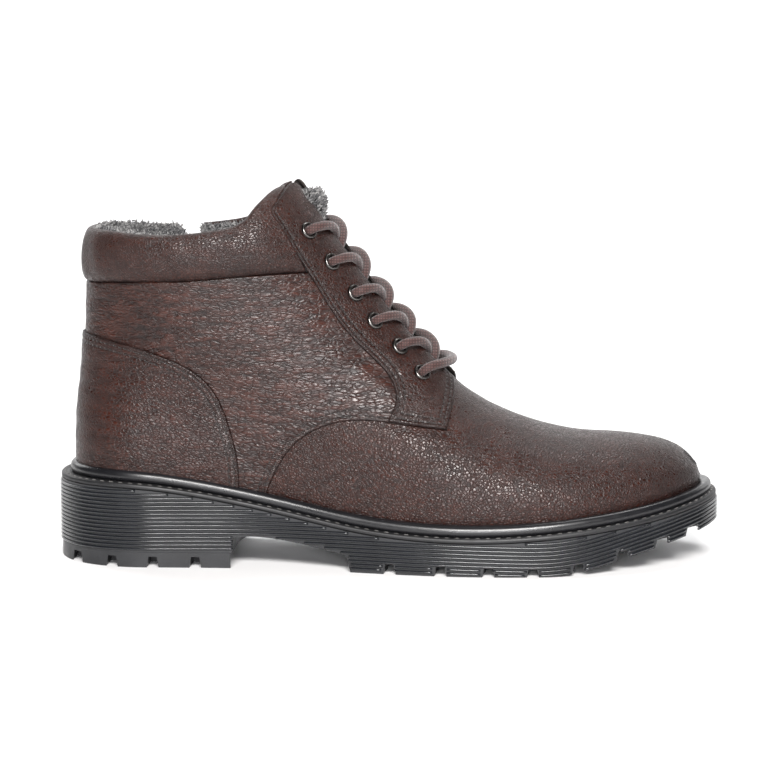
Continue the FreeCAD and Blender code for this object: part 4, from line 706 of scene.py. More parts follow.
def leather(name, lo, mid, hi, cell=1.25, stretch=(1, 1, 1), wrinkle=0.0, rough=(0.19, 0.32), depth=1.0, sheen=0.0):
    m, nt, bs = new_mat(name, coat=0.0, coat_rough=0.28, spec=0.36)
    base = coords(nt)
    st = coords(nt, stretch)
    w = warp(nt, st, 420, 0.0013)
    c1 = cells(nt, w, 1000.0 / cell)
    c2 = cells(nt, w, 1000.0 / cell * 0.50)
    pebble = ramp(nt, c1, [(0.0, 0.0), (0.06, 0.45), (0.16, 0.82), (0.40, 1.0)])
    crease = math_node(nt, "MULTIPLY", pebble, ramp(nt, c2, [(0.0, 0.35), (0.09, 1.0)]))
    fine = noise(nt, base, 4200, 3.0, 0.6)
    broad = noise(nt, base, 34, 4.0, 0.6)
    mott = noise(nt, base, 300, 4.0, 0.7)
    col = ramp(nt, broad, [(0.30, lo), (0.52, mid), (0.74, hi)])
    col = mix(nt, 0.5, col, ramp(nt, mott, [(0.36, lo), (0.66, hi)]), "MIX")
    # painted shade: the base colour is darkened in the grain's crevices, and below in the wrinkles' valleys
    dark = tuple(q * 0.22 for q in lo)
    col = mix(nt, math_node(nt, "MULTIPLY", math_node(nt, "SUBTRACT", 1.0, crease), 0.85), col, dark)
    # painted shade: the edge attribute darkens seams, stitch grooves, cut edges and folds
    edge = attr(nt, "edge")
    col = mix(nt, math_node(nt, "MULTIPLY", edge, 0.80), col, tuple(q * 0.30 for q in lo))
    # painted shade: darker toe (burnish and painted shade) and a painted shadow on the vamp under the throat
    burn = attr(nt, "burn")
    col = mix(nt, burn, col, tuple(q * 0.45 for q in lo))
    under = attr(nt, "under")
    suede = ramp(nt, noise(nt, base, 900, 4.0, 0.7), [(0.3, (0.012, 0.008, 0.007)), (0.7, (0.035, 0.022, 0.018))])
    r = ramp(nt, noise(nt, base, 90, 5.0, 0.65), [(0.3, rough[0]), (0.7, rough[1])])
    pairs = [(crease, min(1.0, 0.85 * depth), 0.00022), (fine, 0.25, 0.000014)]
    if wrinkle:
        wr = coords(nt, (0.20, 0.20, 1.0))
        ww = warp(nt, wr, 80, 0.007)
        w1 = noise(nt, ww, 400, 3.0, 0.5, 0.5)
        w2 = noise(nt, ww, 150, 2.0, 0.5, 0.3)
        ridge = ramp(nt, w1, [(0.36, 0.0), (0.5, 0.35), (0.60, 1.0)])
        pairs.insert(0, (ridge, min(1.0, 0.70 * wrinkle), 0.00020))
        pairs.insert(0, (w2, min(1.0, 0.7 * wrinkle), 0.00032))
        # painted shade in the wrinkles' valleys and painted highlight on their ridges
        col = mix(nt, math_node(nt, "MULTIPLY", math_node(nt, "SUBTRACT", 1.0, ridge), 0.42 * min(1.0, wrinkle)), col, dark)
        col = mix(nt, math_node(nt, "MULTIPLY", ridge, 0.22 * min(1.0, wrinkle)), col, tuple(q * 1.3 for q in hi))
    col = mix(nt, under, col, suede)
    nt.links.new(col, bs.inputs["Base Color"])
    r = math_node(nt, "ADD", r, math_node(nt, "MULTIPLY", math_node(nt, "SUBTRACT", 1.0, crease), 0.30), True)
    r = math_node(nt, "ADD", r, math_node(nt, "MULTIPLY", under, 0.4), True)
    nt.links.new(r, bs.inputs["Roughness"])
    bump(nt, bs, pairs)
    return m


def rubber(name, lo=(0.0085, 0.0088, 0.0098), hi=(0.022, 0.023, 0.026), rough=(0.36, 0.56), grit=1.0, coat=0.0):
    m, nt, bs = new_mat(name, coat=coat, coat_rough=0.16, spec=0.5)
    base = coords(nt)
    dust = noise(nt, base, 55, 6.0, 0.7)
    n2 = noise(nt, base, 1500, 4.0, 0.6)
    col = mix(nt, 0.35, ramp(nt, dust, [(0.3, lo), (0.75, hi)]), ramp(nt, n2, [(0.35, lo), (0.7, hi)]))
    nt.links.new(col, bs.inputs["Base Color"])
    r = ramp(nt, noise(nt, base, 130, 5.0, 0.65), [(0.3, rough[0]), (0.72, rough[1])])
    nt.links.new(r, bs.inputs["Roughness"])
    bump(nt, bs, [(n2, 0.20 * grit, 0.00012), (noise(nt, base, 6000, 2.0, 0.5), 0.10 * grit, 0.00004)])
    return m


def fleece(name, tones=((0.006, 0.006, 0.007), (0.045, 0.044, 0.046), (0.30, 0.29, 0.285)), tuft=1.0):
    m, nt, bs = new_mat(name, sheen=0.35, spec=0.25)
    base = coords(nt)
    w = warp(nt, base, 300, 0.003)
    a = noise(nt, w, 300, 5.0, 0.72)
    b = noise(nt, base, 95, 3.0, 0.6)
    c = noise(nt, w, 1500, 4.0, 0.7)
    tone = attr(nt, "tone")
    fac = math_node(nt, "ADD", math_node(nt, "ADD", math_node(nt, "MULTIPLY", a, 0.62), math_node(nt, "MULTIPLY", b, 0.30)), math_node(nt, "ADD", math_node(nt, "MULTIPLY", c, 0.18), math_node(nt, "MULTIPLY", tone, 0.34)))
    col = ramp(nt, fac, [(0.40, tones[0]), (0.58, tones[1]), (0.66, tones[1]), (0.86, tones[2])])
    nt.links.new(col, bs.inputs["Base Color"])
    r = ramp(nt, a, [(0.2, 0.8), (0.8, 0.98)])
    nt.links.new(r, bs.inputs["Roughness"])
    bump(nt, bs, [(a, 0.9 * tuft, 0.0012), (c, 0.7 * tuft, 0.0004)])
    return m


def woven(name, lo, hi, pitch=0.7, rough=(0.7, 0.9)):
    m, nt, bs = new_mat(name, sheen=0.25, spec=0.3)
    base = coords(nt)
    wv = nt.nodes.new("ShaderNodeTexWave")
    wv.wave_type = "BANDS"
    wv.bands_direction = "X"
    wv.inputs["Scale"].default_value = 1000 / pitch / 6.28
    wv.inputs["Distortion"].default_value = 0.4
    nt.links.new(base, wv.inputs["Vector"])
    w2 = nt.nodes.new("ShaderNodeTexWave")
    w2.wave_type = "BANDS"
    w2.bands_direction = "Z"
    w2.inputs["Scale"].default_value = 1000 / pitch / 6.28
    w2.inputs["Distortion"].default_value = 0.4
    nt.links.new(base, w2.inputs["Vector"])
    h = math_node(nt, "MULTIPLY", wv.outputs["Fac"], w2.outputs["Fac"])
    n = noise(nt, base, 700, 4.0, 0.6)
    col = mix(nt, math_node(nt, "MULTIPLY", n, 0.5), ramp(nt, h, [(0.1, lo), (0.8, hi)]), lo)
    nt.links.new(col, bs.inputs["Base Color"])
    nt.links.new(ramp(nt, n, [(0.3, rough[0]), (0.7, rough[1])]), bs.inputs["Roughness"])
    bump(nt, bs, [(h, 0.5, 0.0002), (n, 0.3, 0.0001)])
    return m


def metal(name, lo, hi, rough=(0.22, 0.42)):
    m, nt, bs = new_mat(name, metallic=1.0)
    base = coords(nt)
    n = noise(nt, base, 320, 5.0, 0.65)
    s = noise(nt, coords(nt, (1, 1, 7)), 1500, 3.0, 0.6)
    # tone mixes in bright metal: wear and painted highlight on the eyelet crowns, a fixed share on the zip parts
    wear_and_highlight = attr(nt, "tone")
    col = mix(nt, wear_and_highlight, ramp(nt, n, [(0.3, lo), (0.75, tuple(q * 1.5 for q in lo))]), ramp(nt, s, [(0.3, tuple(q * 0.8 for q in hi)), (0.7, hi)]))
    nt.links.new(col, bs.inputs["Base Color"])
    r = ramp(nt, s, [(0.3, rough[0]), (0.7, rough[1])])
    nt.links.new(r, bs.inputs["Roughness"])
    bump(nt, bs, [(n, 0.10, 0.00008), (s, 0.08, 0.00004)])
    return m


def fibre(name, lo, hi, scale=700, rough=(0.75, 0.95), depth=0.4):
    m, nt, bs = new_mat(name, sheen=0.1, spec=0.3)
    base = coords(nt)
    a = noise(nt, warp(nt, base, 200, 0.002), scale, 5.0, 0.7)
    b = noise(nt, base, 60, 4.0, 0.6)
    col = mix(nt, 0.4, ramp(nt, a, [(0.3, lo), (0.7, hi)]), ramp(nt, b, [(0.3, lo), (0.7, hi)]))
    nt.links.new(col, bs.inputs["Base Color"])
    nt.links.new(ramp(nt, a, [(0.3, rough[0]), (0.7, rough[1])]), bs.inputs["Roughness"])
    bump(nt, bs, [(a, depth, 0.0003)])
    return m


LO, MID, HI = (0.0120, 0.0033, 0.0022), (0.0300, 0.0088, 0.0060), (0.0520, 0.0175, 0.0120)
M_VAMP = leather("leather_vamp", LO, MID, HI, cell=1.45, depth=1.05, wrinkle=0.22)
M_QUARTER = leather("leather_quarter", LO, MID, HI, cell=1.5, stretch=(0.40, 0.40, 1.0), wrinkle=1.0, rough=(0.19, 0.30))
M_STAY = leather("leather_stay", LO, MID, HI, cell=1.25, stretch=(0.8, 0.8, 1.0), wrinkle=0.25)
M_COVER = leather("leather_cover", LO, MID, HI, cell=1.3, stretch=(0.6, 0.6, 1.0), wrinkle=0.5)
M_COLLAR = leather("leather_collar", LO, MID, HI, cell=1.0, stretch=(0.7, 0.7, 1.0), wrinkle=0.35, rough=(0.20, 0.33), depth=0.9)
M_FACING = leather("facing_leather", (0.004, 0.0036, 0.0034), (0.008, 0.007, 0.0066), (0.014, 0.012, 0.011), cell=0.9, depth=0.6)
M_FLEECE = fleece("fleece_pile", ((0.005, 0.005, 0.006), (0.045, 0.044, 0.046), (0.28, 0.275, 0.27)))
M_BED = fleece("fleece_bed", ((0.01, 0.01, 0.011), (0.07, 0.068, 0.07), (0.36, 0.35, 0.34)), 0.8)
M_FELT = fibre("felt_grey", (0.03, 0.03, 0.032), (0.12, 0.12, 0.125))
M_STIFF = fibre("stiffener_fibre", (0.20, 0.16, 0.11), (0.38, 0.31, 0.22), 1100, depth=0.25)
M_BOARD = fibre("board_fibre", (0.22, 0.17, 0.11), (0.42, 0.33, 0.22), 900, depth=0.25)
M_CORK = fibre("cork_granules", (0.12, 0.06, 0.025), (0.42, 0.25, 0.12), 420, depth=0.5)
M_SOLE = rubber("sole_rubber")
M_RIB = rubber("rib_rubber", (0.0050, 0.0055, 0.0068), (0.013, 0.0145, 0.018), rough=(0.14, 0.26), grit=0.4, coat=0.25)
M_RAND = rubber("rand_rubber", (0.004, 0.004, 0.0048), (0.010, 0.010, 0.012), (0.24, 0.38), grit=0.6, coat=0.08)
M_WELT = rubber("welt_rubber", (0.004, 0.004, 0.0046), (0.010, 0.010, 0.0115), (0.42, 0.6))
M_THREAD = woven("thread_dark", (0.0048, 0.0026, 0.0022), (0.022, 0.0115, 0.009), 0.35, (0.5, 0.7))
M_WELTTHREAD = woven("thread_grey", (0.06, 0.057, 0.054), (0.22, 0.21, 0.20), 0.35, (0.55, 0.75))
M_EYELET = metal("eyelet_gunmetal", (0.030, 0.027, 0.026), (0.26, 0.25, 0.24), (0.20, 0.36))
M_STEEL = metal("shank_steel", (0.30, 0.30, 0.31), (0.5, 0.5, 0.5))
M_ZIPMETAL = metal("zip_metal_dark", (0.045, 0.042, 0.040), (0.36, 0.35, 0.33), (0.28, 0.45))
M_LACE = woven("lace_braid", (0.028, 0.0115, 0.0100), (0.105, 0.050, 0.045), 0.62, (0.55, 0.75))
M_TIP = rubber("tip_plastic", (0.016, 0.010, 0.009), (0.034, 0.020, 0.018), (0.2, 0.34), coat=0.3)
M_TAPE = woven("zip_tape", (0.0055, 0.0046, 0.0044), (0.020, 0.016, 0.0155), 0.8)
M_COIL = rubber("zip_coil_nylon", (0.008, 0.0075, 0.0075), (0.018, 0.017, 0.017), (0.22, 0.36))

# ---------------------------------------------------------------- seam lines in the side view
COLLAR_LINE = [(-160, 128.6), (-137.2, 128.4), (-115.5, 130.0), (-94.3, 130.7), (-63.1, 133.1), (-42.7, 134.1), (-30.0, 134.4)]
COVER_LINE = [(-160, 106.0), (-140.4, 104.8), (-125.0, 102.6), (-111.6, 99.6), (-98.5, 95.4), (-88.8, 91.0), (-78.6, 82.4), (-72.6, 70.9), (-69.9, 62.7), (-66.7, 48.9), (-66.0, 36.8), (-65.8, 18)]
COVER_LINE_IN = [(-160, 106.0), (-140.4, 104.8), (-125.0, 101.6), (-112.0, 95.6), (-104.0, 87.0), (-99.8, 76.0), (-97.6, 62.0), (-96.6, 48.0), (-96.0, 36.8), (-95.8, 18)]
STAY_REAR = [(-52.7, 161.8), (-46.9, 153.2), (-40.4, 142.4), (-32.6, 129.9), (-23.5, 115.0), (-14.0, 102.9), (-4.1, 93.2), (2.6, 85.1), (5.0, 77.8), (3.7, 71.0), (1.9, 67.5)]
LOWER = [(-53.6, 12), (-53.0, 35.5), (-49.2, 44.2), (-42.7, 54.5), (-34.5, 61.6), (-23.9, 66.3), (-11.6, 68.1), (-1.2, 67.6), (15.6, 65.3), (28.5, 63.6)]
VAMP_BACK = [(-61.5, 12), (-61.0, 35.5), (-57.5, 46.0), (-50.0, 58.5), (-40.0, 67.8), (-26.0, 73.6), (-12.0, 75.6), (0.0, 75.0), (10.0, 74.4), (17.0, 77.0), (21.0, 84.0), (23.0, 92)]
PEAK = [(-52.7, 161.8), (-49.4, 167.0), (-46.6, 171.6), (-44.6, 173.4), (-42.4, 172.2), (-39.6, 167.8), (-36.0, 163.2), (-28.0, 160.5)]
ZA, ZB = (-95.5, 148.4), (-82.5, 61.6)


def zline(z, w=0.0):
    return ZA[0] + (ZB[0] - ZA[0]) * (z - ZA[1]) / (ZB[1] - ZA[1]) + w


def foot_v0(x):
    """Height of the feather line at x."""
    return ev(Z0, x)


def above(line, side, lo=None, hi=None):
    """The part of a side-view line that lies on the form, as (th, v)."""
    p = dense(line, 160)
    z0 = ev(Z0, p[:, 0])
    ok = (p[:, 1] > z0 + 0.05) & (p[:, 1] < ev(ZR, np.clip(p[:, 0], -50, 145.7)) - 0.02)
    xb = ev(XB, p[:, 1])
    ok &= p[:, 0] > xb + 0.02
    if lo is not None:
        ok &= p[:, 1] >= lo
    if hi is not None:
        ok &= p[:, 1] <= hi
    p = p[ok]
    th, v = locate(p[:, 0], p[:, 1], side)
    return np.stack([th, v], -1)


def level(th0, th1, v, n=200):
    t = np.linspace(0, 1, n)
    return np.stack([th0 + (th1 - th0) * t, np.full(n, v) if np.isscalar(v) else v(th0 + (th1 - th0) * t)], -1)


def up(th, v0, v1, n=60):
    t = np.linspace(0, 1, n)
    return np.stack([np.full(n, th), v0 + (v1 - v0) * t], -1)


def throat(v, side, half):
    """th where the form is half away from the middle at v."""
    v = np.asarray(v, float)
    lo, hi = np.full_like(v, 0.36), np.full_like(v, 0.5)
    for _ in range(36):
        mid = (lo + hi) / 2
        out = surf(mid, v)[..., 1] < -half
        lo, hi = np.where(out, mid, lo), np.where(out, hi, mid)
    th = (lo + hi) / 2
    return th if side < 0 else 1 - th


def mid_v(x):
    """v of the front middle line at x."""
    vs = np.linspace(0.06, 1.16, 1200)
    return float(np.interp(-x, -front(vs)[0], vs))


def end_at(line_uv, where):
    """Line continued straight to a last point."""
    return np.concatenate([line_uv, np.atleast_2d(where)])


D_BASE, D_OVER = (0.1, 1.3), (1.4, 2.6)
EYES = [(0.4135, 0.9505), (0.4165, 0.8755), (0.4185, 0.8055), (0.4160, 0.7390), (0.4215, 0.6725), (0.4200, 0.6105)]

# vamp
vl = above(VAMP_BACK, -1)
vm = above(VAMP_BACK, 1)
v_top = mid_v(23.4)
bl, bm = vl[0][0], vm[0][0]
vamp_segs = [(level(bl, bm, 0.003, 500), ""), (np.concatenate([[(bm, 0.003)], vm[vm[:, 1] > 0.006], [(0.5, v_top)]]), ""), (np.concatenate([[(0.5, v_top)], vl[vl[:, 1] > 0.006][::-1], [(bl, 0.003)]]), "")]
panel("vamp", vamp_segs, 0.0, -1.2, M_VAMP, replaces=["vamp"], step=1.5)


# quarters
def q_front():
    """Front edge of the quarter, under the eyestay."""
    line = [p for p in STAY_REAR if 76 < p[1] < 128]
    out = []
    for i, p in enumerate(STAY_REAR):
        a, b = STAY_REAR[max(0, i - 1)], STAY_REAR[min(len(STAY_REAR) - 1, i + 1)]
        tx, tz = b[0] - a[0], b[1] - a[1]
        q = math.hypot(tx, tz)
        if 76 < p[1] < 128:
            out.append((p[0] - tz / q * 8, p[1] + tx / q * 8))
    return [(-27.6, 134.0)] + out + [(12.6, 72.0), (11.0, 66.4)]


def seg_line(line, side):
    p = dense(line, 120)
    th, v = locate(p[:, 0], p[:, 1], side)
    return np.stack([th, v], -1)


low_q = [p for p in LOWER if p[0] < 5] + [(11.0, 66.0)]
for side, nm in ((-1, "quarter_lateral"),):
    top = above(COLLAR_LINE, side)
    lo = above(low_q, side)
    fr = seg_line(q_front(), side)
    ta = 0.0
    segs = [(np.concatenate([[(ta, top[0][1])], top, [fr[0]]]), "e"), (fr, ""), (np.concatenate([[fr[-1]], lo[lo[:, 1] > 0.008][::-1], [(lo[0][0], 0.005)]]), "es"),
            (level(lo[0][0], ta, 0.005), ""), (up(ta, 0.005, top[0][1]), "")]
    panel(nm, segs, D_BASE[1], D_BASE[0], M_QUARTER, replaces=[nm], rows=(1.9, 4.4), step=1.5)


def zip_edge(w, z0, z1, n=80):
    z = np.linspace(z0, z1, n)
    th, v = locate(zline(z, w), z, 1)
    return np.stack([th, v], -1)


top = above(COLLAR_LINE, 1)
lo = above(low_q, 1)
fr = seg_line(q_front(), 1)
hf = 6.0
x_top_f, x_top_r = zline(131.5, hf), zline(131.0, -hf)
def on_line(line, x):
    d = dense(line, 240)
    return float(np.interp(x, d[:, 0], d[:, 1]))
ztf, ztr = on_line(COLLAR_LINE, x_top_f), on_line(COLLAR_LINE, x_top_r)
eF = zip_edge(hf, 57.5, ztf)
eR = zip_edge(-hf, 57.5, ztr)
sF = zip_edge(0.15, ev(Z0, zline(36)) + 0.4, 56.6)
sR = zip_edge(-0.15, ev(Z0, zline(36)) + 0.4, 56.6)
tf = top[surf(top[:, 0], top[:, 1])[:, 0] > x_top_f + 0.3]
tr = top[surf(top[:, 0], top[:, 1])[:, 0] < x_top_r - 0.3]
segs = [(np.concatenate([[eF[-1]], tf, [fr[0]]]), "e"), (fr, ""), (np.concatenate([[fr[-1]], lo[lo[:, 1] > 0.008][::-1], [(lo[0][0], 0.005)]]), "es"),
        (level(lo[0][0], sF[0][0], 0.005), ""), (np.concatenate([[(sF[0][0], 0.005)], sF]), "e"), (np.concatenate([[sF[-1]], eF]), "es")]
panel("quarter_medial_front", segs, D_BASE[1], D_BASE[0], M_QUARTER, replaces=["quarter_medial_front"], rows=(1.9, 4.4), step=1.5)
segs = [(np.concatenate([[(1.0, tr[0][1])], tr, [eR[-1]]]), "e"), (np.concatenate([eR[::-1], [sR[-1]]]), "es"), (np.concatenate([sR[::-1], [(sR[0][0], 0.005)]]), "e"),
        (level(sR[0][0], 1.0, 0.005), ""), (up(1.0, 0.005, tr[0][1]), "")]
panel("quarter_medial_rear", segs, D_BASE[1], D_BASE[0], M_QUARTER, replaces=["quarter_medial_rear"], rows=(1.9,), step=1.5)


# eyestays and facings
FOOT_OUT = [(18, 97), (24, 89.5), (27.5, 85.7), (29.4, 83), (30.2, 80), (30.2, 76), (29.5, 70.6), (28.7, 66.7), (28.1, 63.6)]
FOOT_IN = [(17.2, 96.4), (23.4, 88.8), (26.9, 85.0), (28.8, 82.4), (29.6, 79.8), (29.6, 76), (28.9, 70.8), (28.1, 66.9), (27.6, 64.4)]


def flap(side, half, line_rear, peak, foot, d, name, mat, slot, rows, step):
    rear = seg_line([p for p in line_rear], side)
    pk = dense(peak, 160)
    th, v = locate(pk[:, 0], pk[:, 1], side)
    pk = np.stack([th, v], -1)
    y = np.abs(surf(pk[:, 0], pk[:, 1])[:, 1])
    last = np.argmax(y < half) if (y < half).any() else len(pk)
    pk = pk[:last]
    v_hi = pk[-1][1]
    ft = seg_line(foot, side)
    y = np.abs(surf(ft[:, 0], ft[:, 1])[:, 1])
    first = np.argmax(y > half)
    ft = ft[first:]
    v_lo = ft[0][1]
    vs = np.linspace(v_hi, v_lo, 160)
    tl = np.stack([throat(vs, side, half), vs], -1)
    return rear, pk, tl, ft


for side, nm in ((-1, "lateral"), (1, "medial")):
    rear, pk, tl, ft = flap(side, 9.5, STAY_REAR, PEAK, FOOT_OUT, D_OVER, "", None, None, None, None)
    lw = seg_line([(28.1, 63.6), (15.6, 65.3), (1.9, 67.5)], side)
    holes = [((th if side < 0 else 1 - th, v), 3.1) for th, v in EYES]
    up_ = rear[rear[:, 1] > 0.80]
    dn_ = rear[rear[:, 1] <= 0.80]
    segs = [(pk, "e"), (tl, "e"), (ft, "es"), (lw, "es"), (dn_[::-1], "es"), (up_[::-1], "et")]
    panel("eyestay_" + nm, segs, D_OVER[1], D_OVER[0], M_STAY, replaces=["eyestay_" + nm], rows=(1.8, 4.2), step=1.5, holes=holes)
    rear, pk, tl, ft = flap(side, 10.0, [(-52.2, 161.6), (-46.5, 153.4), (-40.0, 142.6), (-36.0, 134.6)], [(-52.2, 161.6), (-49.0, 166.6), (-46.4, 171.0), (-44.6, 172.6), (-42.8, 171.6), (-40.2, 167.4), (-36.6, 162.8), (-28.2, 160.0)], FOOT_IN, D_BASE, "", None, None, None, None)
    qf = [(a + 0.45, b) for a, b in q_front()[1:-1]]
    back = seg_line([(-27.2, 134.6)] + qf + [(11.5, 66.8)], side)
    lw = seg_line([(27.6, 64.4), (20.0, 65.6), (11.5, 66.8)], side)
    segs = [(pk, ""), (tl, "e"), (ft, ""), (lw, ""), (back[::-1], ""), (np.array([back[0], rear[-1]]), ""), (rear[::-1], "")]
    panel("facing_" + nm, segs, D_BASE[1], D_BASE[0], M_FACING, replaces=["facing_" + nm], step=2.2, holes=holes, swell=False, edge_round=0.5)

# heel cover and counter
cl = above(COVER_LINE, -1)
cm = above(COVER_LINE_IN, 1)
cm = np.stack([cm[:, 0] - 1.0, cm[:, 1]], -1)
cl, cm = cl[cl[:, 1] > 0.013], cm[cm[:, 1] > 0.013]
segs = [(np.concatenate([[(0.0, cl[0][1])], cl, [(cl[-1][0], 0.010)]]), "es"), (level(cl[-1][0], cm[-1][0], 0.010, 300), ""), (np.concatenate([[(cm[-1][0], 0.010)], cm[::-1], [(0.0, cl[0][1])]]), "es")]
panel("heel_counter_cover", segs, D_OVER[1] + 0.05, D_OVER[0] + 0.05, M_COVER, replaces=["heel_counter_cover"], rows=(1.9, 4.4), step=1.5)

# linings
FRONT_LI = [(-46.3, 5), (-40.2, 50.2), (-23.6, 66.6), (2.6, 73.4)]
FRONT_LI2 = [(2.6, 73.4), (6.4, 79.0), (3.6, 87), (-3.4, 95.0), (-12.4, 104.6), (-22.0, 116.6), (-31.0, 131.4), (-38.6, 143.8), (-45.6, 155.2), (-51.5, 165)]


def lining(name, side, which):
    a = above(FRONT_LI, side)
    b = above(FRONT_LI2, side)
    b = b[b[:, 1] < 0.985]
    back = 0.0 if side < 0 else 1.0
    if which == "whole":
        segs = [(level(back, b[-1][0], 0.985), ""), (b[::-1], ""), (a[::-1], ""), (level(a[0][0], back, 0.012), ""), (up(back, 0.012, 0.985), "")]
    else:
        w = 8.6 if which == "front" else -8.6
        e = zip_edge(w, 54.5, 152.0)
        e = e[e[:, 1] < 0.985]
        s = zip_edge(0.15 if which == "front" else -0.15, ev(Z0, zline(36)) + 2.4, 53.6)
        if which == "front":
            segs = [(level(e[-1][0], b[-1][0], 0.985), ""), (b[::-1], ""), (a[::-1], ""), (level(a[0][0], s[0][0], 0.012), ""), (np.concatenate([s, e]), "")]
        else:
            segs = [(level(back, e[-1][0], 0.985), ""), (np.concatenate([e[::-1], s[::-1]]), ""), (level(s[0][0], back, 0.012), ""), (up(back, 0.012, 0.985), "")]
    return panel(name, segs, -2.75, -4.95, M_FLEECE, replaces=[name], step=1.8, swell=False, inner_noise=0.55, edge_round=0.6)


lining("lining_lateral", -1, "whole")
lining("lining_medial_front", 1, "front")
lining("lining_medial_rear", 1, "rear")
LV = [(-45.7, 5), (-39.6, 50), (-15.6, 70.3), (8.4, 72.6), (20.4, 80.4)]
lvl, lvm = above(LV, -1), above(LV, 1)
vt = mid_v(21.5)
segs = [(level(lvl[0][0], lvm[0][0], 0.012, 400), ""), (np.concatenate([lvm, [(0.5, vt)]]), ""), (np.concatenate([[(0.5, vt)], lvl[::-1]]), "")]
panel("lining_vamp", segs, -2.9, -4.95, M_FLEECE, replaces=["lining_vamp"], step=2.2, swell=False, inner_noise=0.5, edge_round=0.6)


# ---------------------------------------------------------------- padded collar
CBOT = spline_table([(0, 0.846), (0.0518, 0.8494), (0.149, 0.8702), (0.212, 0.8841), (0.2964, 0.8902), (0.3521, 0.8780), (0.3788, 0.8693), (0.42, 0.86)])
CTOP = spline_table([(0, 1.0), (0.2, 1.003), (0.28, 1.0075), (0.3184, 1.0115), (0.3277, 1.0152), (0.3401, 1.0252), (0.3555, 1.0389), (0.3723, 1.0505), (0.391, 1.0615), (0.4072, 1.068), (0.44, 1.0715)])
# the section of the collar: share of the height, and millimetres over the form; round from the seam at the bottom, over the top and down inside
SECTION = [(0.0, 0.15), (0.012, 0.75), (0.035, 1.45), (0.08, 2.25), (0.15, 3.05), (0.24, 3.65), (0.34, 4.0), (0.45, 4.15), (0.56, 4.1), (0.67, 3.8), (0.78, 3.2), (0.87, 2.4), (0.94, 1.5), (0.982, 0.5),
           (1.002, -0.6), (1.006, -1.7), (0.992, -2.7), (0.965, -3.3), (0.935, -3.35), (0.922, -2.7), (0.93, -1.4), (0.91, -0.2), (0.86, 0.14), (0.6, 0.15), (0.3, 0.15), (0.08, 0.12), (0.0, -0.1)]
EDGE_END = [(-44.9, 174.6), (-47.1, 171.9), (-49.9, 167.3), (-53.1, 162.2), (-47.3, 153.2), (-40.8, 142.4), (-33.0, 129.9), (-23.9, 115.0)]


def end_th(q, side):
    """th at which the collar ends under the eyestay's rear edge, at a share q of its height."""
    lo, hi = 0.25, 0.44
    xs, zs = zip(*[(a, b) for a, b in EDGE_END])
    for _ in range(34):
        mid = (lo + hi) / 2
        v = ev(CBOT, mid) + (ev(CTOP, mid) - ev(CBOT, mid)) * q
        p = surf(mid, v)
        xe = np.interp(-p[2], [-z for z in zs], xs)
        if p[0] < xe:
            lo = mid
        else:
            hi = mid
    return (lo + hi) / 2


def zip_th(q, w, side=1):
    """th where the zip's line, w to the front, crosses the collar at a share q of its height."""
    lo, hi = 0.02, 0.36
    for _ in range(34):
        mid = (lo + hi) / 2
        v = ev(CBOT, mid) + (ev(CTOP, mid) - ev(CBOT, mid)) * q
        p = surf(mid, v)
        if p[0] < zline(p[2], w):
            lo = mid
        else:
            hi = mid
    return (lo + hi) / 2


